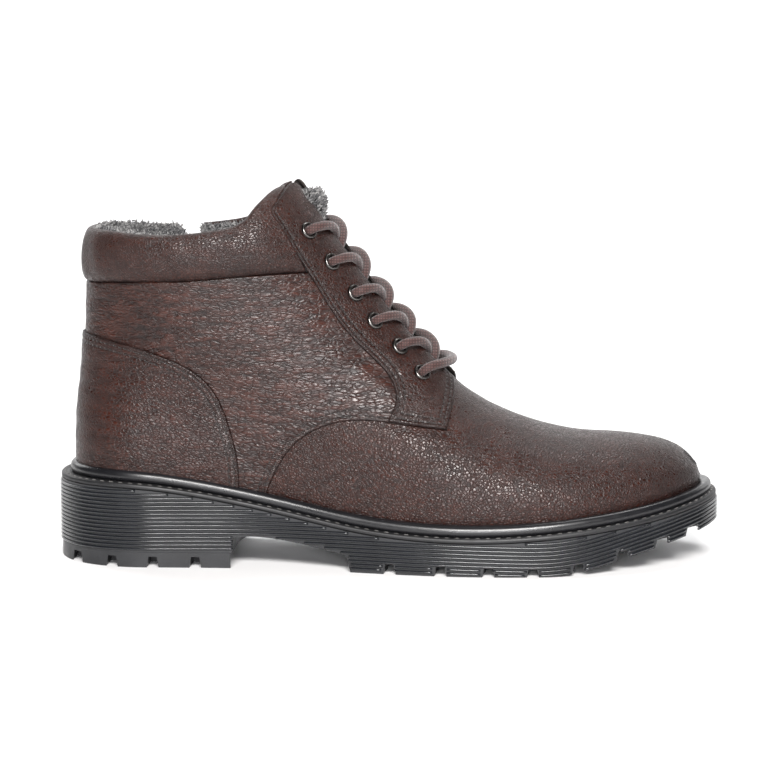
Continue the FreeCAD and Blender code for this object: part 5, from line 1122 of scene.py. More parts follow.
def collar(name, side, a_of, b_of, closed_a, closed_b, replaces):
    """One padded length of collar. a_of and b_of give th of its two ends at each share of its height."""
    sec = np.array(SECTION)
    d = np.concatenate([[0], np.cumsum(np.hypot(np.diff(sec[:, 0]) * 26, np.diff(sec[:, 1])))])
    s = np.linspace(0, d[-1], 66)
    tq, td = spline_table(list(zip(d, sec[:, 0])), 800), spline_table(list(zip(d, sec[:, 1])), 800)
    Q, Dd = ev(tq, s), ev(td, s)
    m = len(s)
    n = 190 if (b_of(0.5) - a_of(0.5)) > 0.2 else 90
    f = np.linspace(0, 1, n)
    ths = np.array([a_of(float(q)) for q in np.clip(Q, 0, 1)])
    the = np.array([b_of(float(q)) for q in np.clip(Q, 0, 1)])
    th = ths[None, :] + (the - ths)[None, :] * f[:, None]
    qq = np.repeat(Q[None, :], n, 0)
    v = ev(CBOT, th) + (ev(CTOP, th) - ev(CBOT, th)) * qq
    dd = np.repeat(Dd[None, :], n, 0)
    # folded ends draw in, and the pad is uneven: soft dimples along the bottom seam and slow waves above
    P0 = surf(np.where(side < 0, th, 1 - th), np.minimum(v, 1.12))
    L = np.cumsum(np.concatenate([[0], np.linalg.norm(np.diff(P0[:, m // 4], axis=0), axis=1)]))
    x = L[:, None]
    out = np.clip(dd / 4.0, 0, 1)
    wob = 0.26 * np.sin(x * 0.21 + 0.9 * np.sin(x * 0.053)) * np.sin(qq * 3.1 + 0.4) + 0.16 * np.sin(x * 0.47 + 2.0 * np.sin(qq * 2.2))
    pucker = 0.22 * np.exp(-((qq - 0.05) / 0.07) ** 2) * np.sin(x * 1.05 + 1.2 * np.sin(x * 0.23))
    dd = dd + out * wob + np.where(np.arange(m)[None, :] < m // 2, pucker, 0)
    end = np.minimum(x / 3.0, 1.0) if closed_a else np.ones_like(x)
    if closed_b:
        end = end * np.minimum((L[-1] - x) / 3.0, 1.0)
    k = np.sqrt(np.clip(1 - (1 - end) ** 2, 0, 1))
    cen = 0.2
    dd = cen + (dd - cen) * (0.30 + 0.70 * k)
    T = np.where(side < 0, th, 1 - th)
    V = off(T, v, dd).reshape(-1, 3)
    F = grid_faces(n, m, wrap_cols=True)
    nn = len(V)
    V = np.concatenate([V, V[:m].mean(0, keepdims=True), V[nn - m:nn].mean(0, keepdims=True)])
    j = np.arange(m)
    caps = np.concatenate([np.stack([j, (j + 1) % m, np.full(m, nn)], -1), np.stack([(n - 1) * m + (j + 1) % m, (n - 1) * m + j, np.full(m, nn + 1)], -1)])
    # edge: painted shade at the bottom seam, where the roll turns inside, at the drawn-in ends and on the part tucked
    # inside
    edge = np.exp(-qq / 0.035) + 0.35 * np.exp(-((qq - 1.02) / 0.05) ** 2) + (1 - k) * 0.5
    edge = np.where((dd < -2.2) & (qq < 0.95), 0.6, edge)
    a = np.concatenate([np.clip(edge, 0, 1).reshape(-1), [0.5, 0.5]])
    if side > 0:
        F, caps = F[:, ::-1], caps[:, ::-1]
    o = build(name, V, [F, caps], M_COLLAR, "boot", replaces, {"edge": a, "under": np.zeros(len(V))})
    fix_normals(o)
    return o


def fix_normals(o):
    import bmesh
    bm = bmesh.new()
    bm.from_mesh(o.data)
    bmesh.ops.recalc_face_normals(bm, faces=bm.faces)
    bm.to_mesh(o.data)
    bm.free()


collar("collar_lateral", -1, lambda q: 0.0, lambda q: end_th(q, -1), False, False, ["collar_lateral"])
collar("collar_medial_front", 1, lambda q: zip_th(q, 6.0), lambda q: end_th(q, 1), True, False, ["collar_medial_front"])
collar("collar_medial_rear", 1, lambda q: 0.0, lambda q: zip_th(q, -6.0), False, True, ["collar_medial_rear"])


# ---------------------------------------------------------------- tongue
def lift(th, v):
    side = 3.0 * smooth((v - 0.955) / 0.09)
    mid = 11.6 * smooth((v - 0.925) / 0.078)
    k = 1 - smooth((np.abs(th - 0.5) - 0.014) / 0.026)
    return side + (mid - side) * k


def sheet_of(name, t0, t1, v0, v1, f_out, f_in, nu, nv, mat, body, replaces, attrs=None, round_edge=1.0, corner=0.0):
    """A closed soft sheet over a patch of the form, with rounded edges and corners."""
    a, b = np.linspace(0, 1, nu), np.linspace(0, 1, nv)
    a = (1 - np.cos(a * math.pi)) / 2 * 0.35 + a * 0.65
    b = (1 - np.cos(b * math.pi)) / 2 * 0.35 + b * 0.65
    B, A = np.meshgrid(b, a, indexing="ij")
    TH, VV = t0 + (t1 - t0) * A, v0 + (v1 - v0) * B
    if corner:
        e = np.clip((np.abs(A - 0.5) - 0.5 + corner) / corner, 0, 1)
        VV = np.minimum(VV, v1 - (v1 - v0) * corner * 0.55 * (1 - np.sqrt(np.maximum(0, 1 - e * e))) * smooth((B - 0.75) / 0.25))
    o_, i_ = f_out(TH, VV, A, B), f_in(TH, VV, A, B)
    mid = (o_ + i_) / 2
    ex = np.minimum(np.minimum(A, 1 - A) * (t1 - t0) * 300, np.minimum(B, 1 - B) * (v1 - v0) * 140)
    k = np.sqrt(np.clip(1 - (1 - np.clip(ex / round_edge, 0, 1)) ** 2, 0, 1)) * 0.93 + 0.07
    S, N = surf(TH, np.minimum(VV, 1.16)), normal(TH, np.minimum(VV, 1.158))
    top = S + N * (mid + (o_ - mid) * k)[..., None]
    bot = S + N * (mid + (i_ - mid) * k)[..., None]
    V = np.concatenate([top.reshape(-1, 3), bot.reshape(-1, 3)])
    n = nu * nv
    F = [grid_faces(nv, nu), grid_faces(nv, nu, start=n, flip=True)]
    ring = np.concatenate([np.arange(nu - 1), np.arange(nv - 1) * nu + nu - 1, (nv - 1) * nu + np.arange(nu - 1, 0, -1), np.arange(nv - 1, 0, -1) * nu])
    nx = np.roll(ring, -1)
    F.append(np.stack([ring, ring + n, nx + n, nx], -1))
    # edge: painted shade towards the sheet's rounded rim
    ed = np.exp(-ex / 1.6).reshape(-1)
    at = {"edge": np.concatenate([ed, ed]), "under": np.concatenate([np.zeros(n), np.ones(n)]), "tone": np.concatenate([np.zeros(n), np.zeros(n)])}
    o = build(name, V, F, mat, body, replaces, at)
    fix_normals(o)
    return o


def face_out(th, v, a, b):
    wr = 0.20 * np.sin(v * 95 + 2.0 * np.sin(a * 5)) * smooth((v - 0.66) / 0.1)
    return -6.1 + lift(th, v) + wr


def face_in(th, v, a, b):
    return -7.2 + lift(th, v)


def pile_out(th, v, a, b):
    return -7.25 + lift(th, v)


def pile_in(th, v, a, b):
    S = surf(th, np.minimum(v, 1.16)).reshape(-1, 3)
    grow = 4.6 * smooth((v - 0.945) / 0.06)
    return -10.0 + lift(th, v) - grow + fuzz(S, 0.55).reshape(th.shape)


sheet_of("tongue_face", 0.402, 0.598, 0.635, 1.031, face_out, face_in, 60, 110, M_FACING, "tongue", ["tongue_face"], corner=0.12, round_edge=1.0)
TF = sheet_of("tongue_fleece", 0.404, 0.596, 0.64, 1.033, pile_out, pile_in, 80, 130, M_FLEECE, "tongue", ["tongue_fleece"], corner=0.12, round_edge=2.6)


# ---------------------------------------------------------------- fleece curls
def curls(lump, P, N, count, long=(2.2, 4.2), rad=0.42, lean=0.8, up=None):
    """Short bent locks of pile standing on points P with normals N."""
    pick = RNG.integers(0, len(P), count)
    ang = np.linspace(0, 2 * math.pi, 4, endpoint=False)
    for i in pick:
        n = N[i] + RNG.normal(0, 0.35, 3)
        n = n / np.linalg.norm(n)
        side = np.cross(n, RNG.normal(0, 1, 3))
        side /= np.linalg.norm(side)
        L = RNG.uniform(*long)
        bend = RNG.uniform(0.3, 1.0) * lean
        p0 = P[i] + RNG.normal(0, 0.45, 3) - n * 0.5
        pts = [p0 + n * (L * t * (1 - 0.35 * bend * t)) + side * (L * bend * t * t * 0.75) for t in (0, 0.34, 0.68, 1.0)]
        w = np.cross(n, side)
        ring = []
        for k, p in enumerate(pts):
            r = rad * (1.0, 0.95, 0.62, 0.10)[k] * (0.75 + 0.5 * RNG.random()) if k < 3 else 0.05
            ring.append(p + r * (np.cos(ang)[:, None] * w + np.sin(ang)[:, None] * side))
        lump.add(np.concatenate(ring), grid_faces(4, 4, wrap_cols=True), val=RNG.random() ** 1.1)


def rim_points(side, th0, th1, v0, v1, n, d):
    th = RNG.uniform(th0, th1, n)
    v = v0 + (v1 - v0) * RNG.random(n) ** 0.7
    p = surf(th, v)
    z = locate
    ok = np.ones(n, bool)
    if side > 0:
        xz = zline(p[:, 2])
        ok &= np.abs(p[:, 0] - xz) > (10.0 if v0 < 0.9 else 4.6)
    xs, zs = zip(*FRONT_LI2)
    lim = np.interp(-p[:, 2], [-q for q in zs][::1], xs) if zs[0] > zs[-1] else np.interp(p[:, 2], zs, xs)
    ok &= p[:, 0] < lim - 1.5
    th, v = th[ok], v[ok]
    return surf(th, v) + normal(th, v) * d, -normal(th, v)


lump = Lump()
for side, a, b in ((-1, 0.0, 0.40), (1, 0.60, 1.0)):
    P, N = rim_points(side, a, b, 0.72, 0.978, 9000, -5.0)
    curls(lump, P, N, 2600)
    P, N = rim_points(side, a, b, 0.94, 0.998, 7000, -4.2)
    N = unit(N + np.array([0, 0, 0.85]))
    curls(lump, P, N, 3400, (1.8, 3.2), 0.52)
lump.make("fleece_curls_leg", M_FLEECE, "boot")

me = TF.data
co = np.zeros(len(me.vertices) * 3, np.float32)
no = np.zeros(len(me.vertices) * 3, np.float32)
me.vertices.foreach_get("co", co)
me.vertex_normals.foreach_get("vector", no)
co, no = co.reshape(-1, 3) / MM, no.reshape(-1, 3)
n = 80 * 130
row = np.arange(2 * n) % n // 80
col = np.arange(2 * n) % n % 80
inner = np.arange(2 * n) >= n
topz = (row > 98)
sides = ((col < 3) | (col > 76)) & (row > 70)
lip = (row > 126)
lump = Lump()
sel = np.where(inner & topz)[0]
curls(lump, co[sel], no[sel], 2400, (2.2, 4.0))
sel = np.where(lip | sides)[0]
curls(lump, co[sel], unit(no[sel] + 0.001), 2300, (1.8, 3.2), 0.38)
th = RNG.uniform(0.404, 0.596, 9000)
v = 0.925 + (1.026 - 0.925) * RNG.random(9000) ** 0.75
keep = v > 0.948 + 0.02 * np.sin(th * 70)
th, v = th[keep], v[keep]
S, N = surf(th, v), normal(th, v)
P = S + N * (-6.05 + lift(th, v))[:, None]
curls(lump, P, unit(N * 0.55 + np.array([0.1, 0, 0.45])), 3600, (1.5, 2.8), 0.46)
lump.make("fleece_curls_tongue", M_FLEECE, "tongue")

# ---------------------------------------------------------------- footbed
def bed_outline(inset, n=120):
    th = np.arange(n) / n
    p, q = surf(th, 0.05), normal(th, 0.05)
    k = np.hypot(q[:, 0], q[:, 1])
    return np.stack([p[:, 0] - q[:, 0] / k * inset, p[:, 1] - q[:, 1] / k * inset], -1)


def rings_to_middle(out, steps):
    """Nested rings that shrink to a middle line, for a filled plan."""
    xm = np.clip(out[:, 0], out[:, 0].min() + 26, out[:, 0].max() - 34)
    ym = np.interp(xm, [-120, 0, 60, 130], [-0.5, -1.0, 1.5, 6.0])
    c = np.stack([xm, ym], -1)
    return [out + (c - out) * t for t in steps]


o_ = bed_outline(11.4)
steps = np.concatenate([[0.0, 0.02, 0.06], np.linspace(0.12, 0.985, 22)])
R_ = rings_to_middle(o_, steps)
V = []
for t, r in zip(steps, R_):
    z = ev(Z0, r[:, 0]) + 6.6 - 1.2 * max(0.0, 1 - t / 0.08) ** 2
    p = np.stack([r[:, 0], r[:, 1], z], -1)
    p[:, 2] += fuzz(p, 0.38)
    V.append(p)
for t, r in list(zip(steps, R_))[::-1]:
    V.append(np.stack([r[:, 0], r[:, 1], ev(Z0, r[:, 0]) + 2.95], -1))
m = len(o_)
V = np.concatenate(V)
F = grid_faces(2 * len(steps), m, wrap_cols=True)
k = len(steps) * m
bedo = build("footbed", V, [F], M_BED, "boot", ["footbed"], {"tone": np.zeros(len(V))})
import bmesh
bm = bmesh.new()
bm.from_mesh(bedo.data)
bmesh.ops.holes_fill(bm, edges=[e for e in bm.edges if e.is_boundary], sides=0)
bmesh.ops.recalc_face_normals(bm, faces=bm.faces)
bm.to_mesh(bedo.data)
bm.free()

# ---------------------------------------------------------------- zip
def zpt(z, w, d):
    z, w, d = np.broadcast_arrays(np.asarray(z, float), np.asarray(w, float), np.asarray(d, float))
    th, v = locate(zline(z, w), z, 1)
    return surf(th, v) + normal(th, v) * d[..., None]


def strip(name, w0, w1, d0, d1, z0, z1, mat, replaces, nw=10, nz=120, wave=0.0):
    w, z = np.linspace(w0, w1, nw), np.linspace(z0, z1, nz)
    Z, Wd = np.meshgrid(z, w, indexing="ij")
    ex = np.minimum(np.minimum(Wd - w0, w1 - Wd), 1.0)
    k = np.sqrt(np.clip(1 - (1 - np.clip(ex / 0.35, 0, 1)) ** 2, 0, 1))
    mid = (d0 + d1) / 2
    hw = (d1 - d0) / 2 * (0.25 + 0.75 * k)
    wv = wave * np.sin(Z * 0.9 + Wd)
    a, b = zpt(Z, Wd, mid + hw + wv), zpt(Z, Wd, mid - hw + wv)
    V = np.concatenate([a.reshape(-1, 3), b.reshape(-1, 3)])
    n = nw * nz
    ring = np.concatenate([np.arange(nw - 1), np.arange(nz - 1) * nw + nw - 1, (nz - 1) * nw + np.arange(nw - 1, 0, -1), np.arange(nz - 1, 0, -1) * nw])
    nx = np.roll(ring, -1)
    o = build(name, V, [grid_faces(nz, nw), grid_faces(nz, nw, start=n, flip=True), np.stack([ring, ring + n, nx + n, nx], -1)], mat, "boot", replaces, {"edge": np.zeros(2 * n), "under": np.zeros(2 * n), "tone": np.zeros(2 * n)})
    fix_normals(o)
    return o


for s, nm in ((1, "front"), (-1, "rear")):
    a, b = sorted((s * 0.95, s * 13.9))
    strip("zip_tape_" + nm, a, b, -0.62, -0.14, 59.6, 145.9, M_TAPE, ["zip_tape_" + nm], 12, 110)
# coil: each turn is a flattened loop of monofilament that hooks over the middle
for s, nm in ((1, "front"), (-1, "rear")):
    pitch = 1.35
    n = int((142.4 - 63.7) / pitch)
    turns, per = n, 14
    t = np.arange(turns * per + 1) / per
    z = 63.7 + t * pitch + (0.0 if s > 0 else pitch / 2)
    ok = z < 142.4
    t, z = t[ok], z[ok]
    ang = 2 * math.pi * t
    w = s * (1.62 - 1.22 * np.cos(ang))
    w = np.where(np.abs(w) < 0.45, s * 0.45, w)
    d = 0.86 + 0.56 * np.sin(ang)
    P = zpt(z, w, d)
    V, Q, T = tube_mesh(P, 0.27, 6)
    build("zip_coil_" + nm, V, [Q, T], M_COIL, "boot", ["zip_coil_" + nm], {"tone": np.zeros(len(V))})


def soft_box(w0, w1, z0, z1, d0, d1, r=0.45, n=5):
    """A rounded block lying on the zip's line, as points and faces."""
    nw, nz = 9, 9
    a, b = np.linspace(0, 1, nw), np.linspace(0, 1, nz)
    a = 0.5 - np.cos(a * math.pi) / 2
    b = 0.5 - np.cos(b * math.pi) / 2
    B, A = np.meshgrid(b, a, indexing="ij")
    Wd, Z = w0 + (w1 - w0) * A, z0 + (z1 - z0) * B
    ex = np.minimum(np.minimum(Wd - w0, w1 - Wd), np.minimum(Z - z0, z1 - Z))
    k = np.sqrt(np.clip(1 - (1 - np.clip(ex / r, 0, 1)) ** 2, 0, 1))
    top, bot = zpt(Z, Wd, d1 - r * (1 - k)), zpt(Z, Wd, d0 + r * (1 - k))
    V = np.concatenate([top.reshape(-1, 3), bot.reshape(-1, 3)])
    m = nw * nz
    ring = np.concatenate([np.arange(nw - 1), np.arange(nz - 1) * nw + nw - 1, (nz - 1) * nw + np.arange(nw - 1, 0, -1), np.arange(nz - 1, 0, -1) * nw])
    nx = np.roll(ring, -1)
    return V, np.concatenate([grid_faces(nz, nw), grid_faces(nz, nw, start=m, flip=True), np.stack([ring, ring + m, nx + m, nx], -1)])


lump = Lump()
for s in (-1.3, 1.3):
    V, Q = soft_box(s * 1.6 - 1.4, s * 1.6 + 1.4, 143.05, 145.3, 0.05, 1.85)
    lump.add(V, Q, val=0.35)
V, Q = soft_box(-3.3, 3.3, 60.5, 62.9, 0.05, 1.85, 0.55)
lump.add(V, Q, val=0.35)
fix_normals(lump.make("zip_stops", M_ZIPMETAL, "boot", ["zip_stops"]))
strip("zip_guard", -12.9, 12.9, -7.5, -5.7, 57.2, 145.8, M_FACING, ["zip_guard"], 14, 90, wave=0.10)

for nm in ("zip_slider", "zip_pull"):
    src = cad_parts[nm]
    me = src.data.copy()
    o = bpy.data.objects.new(nm + "_finish", me)
    scene.collection.objects.link(o)
    bm = bmesh.new()
    bm.from_mesh(me)
    bmesh.ops.remove_doubles(bm, verts=bm.verts, dist=1e-6)
    bmesh.ops.dissolve_limit(bm, angle_limit=math.radians(2), verts=bm.verts, edges=bm.edges)
    sharp = [e for e in bm.edges if e.is_manifold and e.calc_face_angle(0) > math.radians(35)]
    bmesh.ops.bevel(bm, geom=sharp, offset=0.00022, segments=2, profile=0.5, affect="EDGES", clamp_overlap=True)
    bmesh.ops.triangulate(bm, faces=bm.faces)
    bmesh.ops.recalc_face_normals(bm, faces=bm.faces)
    bm.to_mesh(me)
    bm.free()
    for p in me.polygons:
        p.use_smooth = False
    me.materials.clear()
    me.materials.append(M_ZIPMETAL)
    at = me.attributes.new("tone", "FLOAT", "POINT")
    at.data.foreach_set("value", np.full(len(me.vertices), 0.55, np.float32))
    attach(o, nm)
    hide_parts(nm)

# ---------------------------------------------------------------- eyelets
def lathe_at(lump, c, n, prof, sides=44, tones=None):
    t1 = unit(np.cross(n, [0, 0, 1.0]))
    t2 = np.cross(n, t1)
    ang = np.linspace(0, 2 * math.pi, sides, endpoint=False)
    V = []
    for r, h in prof:
        V.append(c + n * h + r * (np.cos(ang)[:, None] * t1 + np.sin(ang)[:, None] * t2))
    base = lump.n
    lump.add(np.concatenate(V), grid_faces(len(prof), sides, wrap_rows=True, wrap_cols=True), val=0.0)
    if tones is not None:
        lump.val[-1] = np.repeat(np.asarray(tones, float), sides)


top_d = 2.6
prof, tones = [], []
for t in np.linspace(0, 1, 15):
    a = math.pi * t
    prof.append((3.35 - 0.85 * math.cos(math.pi - a) * -1, 0))
prof = [(2.55, -0.7), (2.52, 0.6), (2.52, 2.0)]
tones = [0.0, 0.0, 0.1]
# tone: brighter metal on the top of the rolled crown, wear and painted highlight
for t in np.linspace(0, 1, 13):
    a = math.pi * (1 - t)
    prof.append((3.20 + 0.80 * math.cos(a), top_d + 0.12 + 0.86 * math.sin(a)))
    tones.append(0.10 + 0.80 * math.sin(a) ** 3)
prof += [(4.15, top_d + 0.02), (3.4, top_d - 0.12), (2.98, top_d - 0.2), (2.96, 1.0), (2.96, -0.1), (3.9, -0.15), (4.0, -0.45), (3.6, -0.75), (3.0, -0.85)]
tones += [0.1, 0, 0, 0, 0, 0.2, 0.3, 0.3, 0.1]
for s, nm in ((-1, "lateral"), (1, "medial")):
    lump = Lump()
    for th, v in EYES:
        th = th if s < 0 else 1 - th
        lathe_at(lump, surf(th, v), normal(th, v), prof, 44, tones)
    fix_normals(lump.make("eyelets_" + nm, M_EYELET, "boot", ["eyelets_" + nm]))

# ---------------------------------------------------------------- lace
def side_th(th, s):
    return th if s < 0 else 1 - th


UNDER, OVER = -4.0, 7.2


def strand(s, i):
    (t0, v0), (t1, v1) = EYES[i], EYES[i + 1]
    dv = v1 - v0
    hi = 4.4 if s > 0 else -1.5
    return [off(side_th(0.461, s), v0 + dv * 0.15, 6.3),
            off(side_th(0.5, s), v0 + dv * 0.5, hi),
            off(side_th(0.459, -s), v0 + dv * 0.84, -2.8)]


def hole(s, i, inward):
    th, v = EYES[i]
    a, b = off(side_th(th, s), v, OVER), off(side_th(th, s), v, UNDER)
    return [a, b] if inward else [b, a]


def tail(s):
    th, v = EYES[0]
    return [off(side_th(0.4085, s), v - 0.030, -3.3), off(side_th(0.4065, s), v - 0.070, -3.3), off(side_th(0.4065, s), v - 0.112, -3.3)]


def run_down(s):
    pts = []
    for i in range(5):
        pts += strand(s, i)
        s = -s
        pts += hole(s, i + 1, False)
    return pts, s


left, s_end = run_down(-1)
right, s_end2 = run_down(1)
bar_mid = [off(side_th(0.452, s_end), EYES[5][1] - 0.002, 7.4), off(0.5, EYES[5][1] - 0.004, 6.6), off(side_th(0.452, s_end2), EYES[5][1] - 0.002, 7.4)]
route = list(reversed(tail(-1))) + list(reversed(hole(-1, 0, True))) + left + bar_mid + list(reversed(right)) + hole(1, 0, True) + tail(1)
cu = bpy.data.curves.new("lace_route", "CURVE")
cu.dimensions = "3D"
cu.resolution_u = 16
sp = cu.splines.new("NURBS")
sp.points.add(len(route) - 1)
for p, q in zip(sp.points, route):
    p.co = (q[0] * MM, q[1] * MM, q[2] * MM, 1)
sp.order_u = 3
sp.use_endpoint_u = True
cob = bpy.data.objects.new("lace_route", cu)
scene.collection.objects.link(cob)
bpy.context.view_layer.update()
lm = bpy.data.meshes.new_from_object(cob)
LP = np.array([v.co[:] for v in lm.vertices]) / MM
bpy.data.objects.remove(cob)
bpy.data.meshes.remove(lm)
LP = resample(LP, 0.42)
# straight and even the steps, then braid: two sets of strands wind round the lace and cross
sides = 24
L = np.concatenate([[0], np.cumsum(np.linalg.norm(np.diff(LP, axis=0), axis=1))])
ang = np.linspace(0, 2 * math.pi, sides, endpoint=False)
lay = 2 * math.pi * L[:, None] / 9.0
u = np.sin(4 * (ang[None, :] + lay))
w = np.sin(4 * (ang[None, :] - lay))
rel = np.maximum(np.abs(u), np.abs(w))
over = np.sign(u * w)
rad = 1.94 + 0.15 * (1 - (1 - rel) ** 2 * 2.2) + 0.035 * over
rad *= (1 + 0.035 * np.sin(L * 0.21 + 1.7 * np.sin(L * 0.043)))[:, None]
V, Q, T = tube_mesh(LP, rad, sides)
LACE = build("lace", V, [Q, T], M_LACE, "boot", ["lace"], {"tone": np.zeros(len(V))})
lump = Lump()
for P, t in ((LP[0], unit(LP[0] - LP[4])), (LP[-1], unit(LP[-1] - LP[-5]))):
    q = np.array([P + t * k for k in np.linspace(-0.6, 16, 34)])
    r = 1.62 - 0.10 * np.clip((np.linspace(-0.6, 16, 34) - 12) / 4, 0, 1) + 0.05 * (np.abs(np.sin(np.linspace(0, 6 * math.pi, 34))) < 0.25)
    r[0], r[-1] = 1.35, 1.1
    V, Q, T = tube_mesh(q, r, 16)
    lump.add(V, Q, T, val=0.0)
lump.make("lace_tips", M_TIP, "boot", ["lace_tips"])


# ---------------------------------------------------------------- rand, welt and ribs
def ledge_out(th):
    a = np.abs(((th + 0.5) % 1.0) - 0.5)
    return 8.2 + 1.8 * (1 - smooth((a - 0.10) / 0.10))


def rand_in(th):
    a = np.abs(((th + 0.5) % 1.0) - 0.5)
    lim = np.where((th % 1.0) < 0.5, 0.1755, 0.147)
    return 0.25 + 1.3 * (1 - smooth((a - lim - 0.004) / 0.03)) + 1.3 * (1 - smooth((a - 0.205) / 0.03))


def closed_spline(vals, th_nodes, th):
    """Smooth closed curve through values at even th, read at th."""
    n = len(vals)
    k = 6
    xs = np.concatenate([th_nodes[-k:] - 1, th_nodes, th_nodes[:k + 1] + 1])
    ys = np.concatenate([vals[-k:], vals, vals[:k + 1]])
    tab = spline_table(list(zip(xs, ys)), 6000)
    return ev(tab, th)


NODE = np.arange(56) / 56.0
p_, q_ = surf(NODE, 0.0), normal(NODE, 0.03)
k_ = np.hypot(q_[:, 0], q_[:, 1])
RX, RY = p_[:, 0] + q_[:, 0] / k_ * ledge_out(NODE), p_[:, 1] + q_[:, 1] / k_ * ledge_out(NODE)
TT = np.linspace(0, 1, 4001)[:-1]
ring = np.stack([closed_spline(RX, NODE, TT), closed_spline(RY, NODE, TT), TT], -1)
nr = 760
dl = np.concatenate([[0], np.cumsum(np.hypot(np.diff(ring[:, 0]), np.diff(ring[:, 1])))])
tot = dl[-1] + math.hypot(ring[0, 0] - ring[-1, 0], ring[0, 1] - ring[-1, 1])
s = np.arange(nr) * tot / nr
EX, EY, ETH = np.interp(s, dl, ring[:, 0]), np.interp(s, dl, ring[:, 1]), np.interp(s, dl, ring[:, 2])
tx, ty = np.roll(EX, -1) - np.roll(EX, 1), np.roll(EY, -1) - np.roll(EY, 1)
tl_ = np.hypot(tx, ty)
NX, NY = ty / tl_, -tx / tl_
if ((EX + NX) ** 2).sum() < (EX ** 2).sum():
    NX, NY = -NX, -NY
cx, cy = EX.mean(), EY.mean()
if (NX * (EX - cx) + NY * (EY - cy)).mean() < 0:
    NX, NY = -NX, -NY


def swept(name, prof, mat, replaces, base=None, tone=0.0, jitter=0.0):
    """A closed section (out, up) carried round the sole's outline; up is from the feather line's height there."""
    V = []
    z0 = ev(Z0, EX)
    for o, h in prof:
        oo = o(ETH) if callable(o) else o
        hh = h(ETH) if callable(h) else h
        V.append(np.stack([EX + NX * oo, EY + NY * oo, z0 + hh], -1))
    V = np.stack(V, 1)
    n, m = V.shape[:2]
    ob = build(name, V.reshape(-1, 3), [grid_faces(n, m, wrap_rows=True, wrap_cols=True)], mat, "boot", replaces, {"tone": np.full(n * m, tone)})
    fix_normals(ob)
    return ob


# rand: glossy bead, measured out from the form
sec = [(0.35, 0.16), (2.4, 0.02), (4.5, 0.02), (5.15, 0.4), (5.5, 1.1), (5.62, 1.95), (5.56, 2.8), (5.3, 3.65), (4.8, 4.4), (4.1, 4.95), (3.1, 5.2), (2.0, 5.2), (1.0, 5.05), (0.35, 4.95)]
th = np.interp(np.arange(nr) * tot / nr, dl, ring[:, 2])
V = []
for d_, h_ in sec:
    p, q = surf(th, 0.0), normal(th, 0.03)
    k = np.hypot(q[:, 0], q[:, 1])
    dx = surf(th, 0.06 * h_ / 8.0)[:, 0] - p[:, 0]
    ri = rand_in(th)
    dd = np.maximum(d_, ri + 0.02) if d_ < 3.2 else np.full(nr, d_)
    dd = np.where(d_ < 0.5, ri, dd)
    xx = p[:, 0] + q[:, 0] / k * dd + dx
    V.append(np.stack([xx, p[:, 1] + q[:, 1] / k * dd, ev(Z0, xx) + h_], -1))
V = np.stack(V, 1)
V2 = V.copy()
for _ in range(2):
    V2 = (np.roll(V2, 1, 0) + V2 * 2 + np.roll(V2, -1, 0)) / 4
ob = build("rand", V2.reshape(-1, 3), [grid_faces(nr, len(sec), wrap_rows=True, wrap_cols=True)], M_RAND, "boot", ["rand"], {"tone": np.zeros(nr * len(sec))})
fix_normals(ob)

swept("welt", [(-11.4, -2.38), (-0.7, -2.38), (-0.15, -2.2), (0.1, -1.75), (0.14, -1.2), (0.05, -0.6), (-0.3, -0.16), (-0.9, -0.02), (-1.4, -0.08), (-1.75, -0.30), (-2.1, -0.08), (-2.6, -0.02), (-4.0, -0.02), (-11.4, -0.02)], M_WELT, ["welt"])
lump = Lump()
off_in = 1.75
line = np.stack([EX - NX * off_in, EY - NY * off_in, ev(Z0, EX) - 0.12], -1)
line = np.concatenate([line, line[:1]])
stitch_n = np.repeat(np.array([[0, 0, 1.0]]), len(line), 0) + np.concatenate([np.stack([NX, NY, 0 * NX], -1), [[NX[0], NY[0], 0]]]) * 0.9
WELT_LINE = (line, unit(stitch_n))

# ribs moulded round the wall of the sole
TREADZ = spline_table([(-160, 0), (60, 0), (75, 0.0), (86, 1.2), (97, 3.6), (110, 7.0), (122, 10.0), (136, 13.4), (146, 15.8), (152, 17.3), (170, 22)])
HN = [-142, -124.5, -105.5, -86]
FN = [3, 26, 47.5, 67.5, 88, 108, 126, 140.5]


def wall_bottom(x):
    """Height of the wall's lower end at x, over the tread line."""
    b = np.interp(x, [-68.7, -60.0, -40, -24, -16.5, -14.6], [14.3, 14.8, 12.6, 9.4, 7.4, 0.0])
    return np.where(x < -68.7, 7.1, np.where(x < -14.6, b, 0.0))


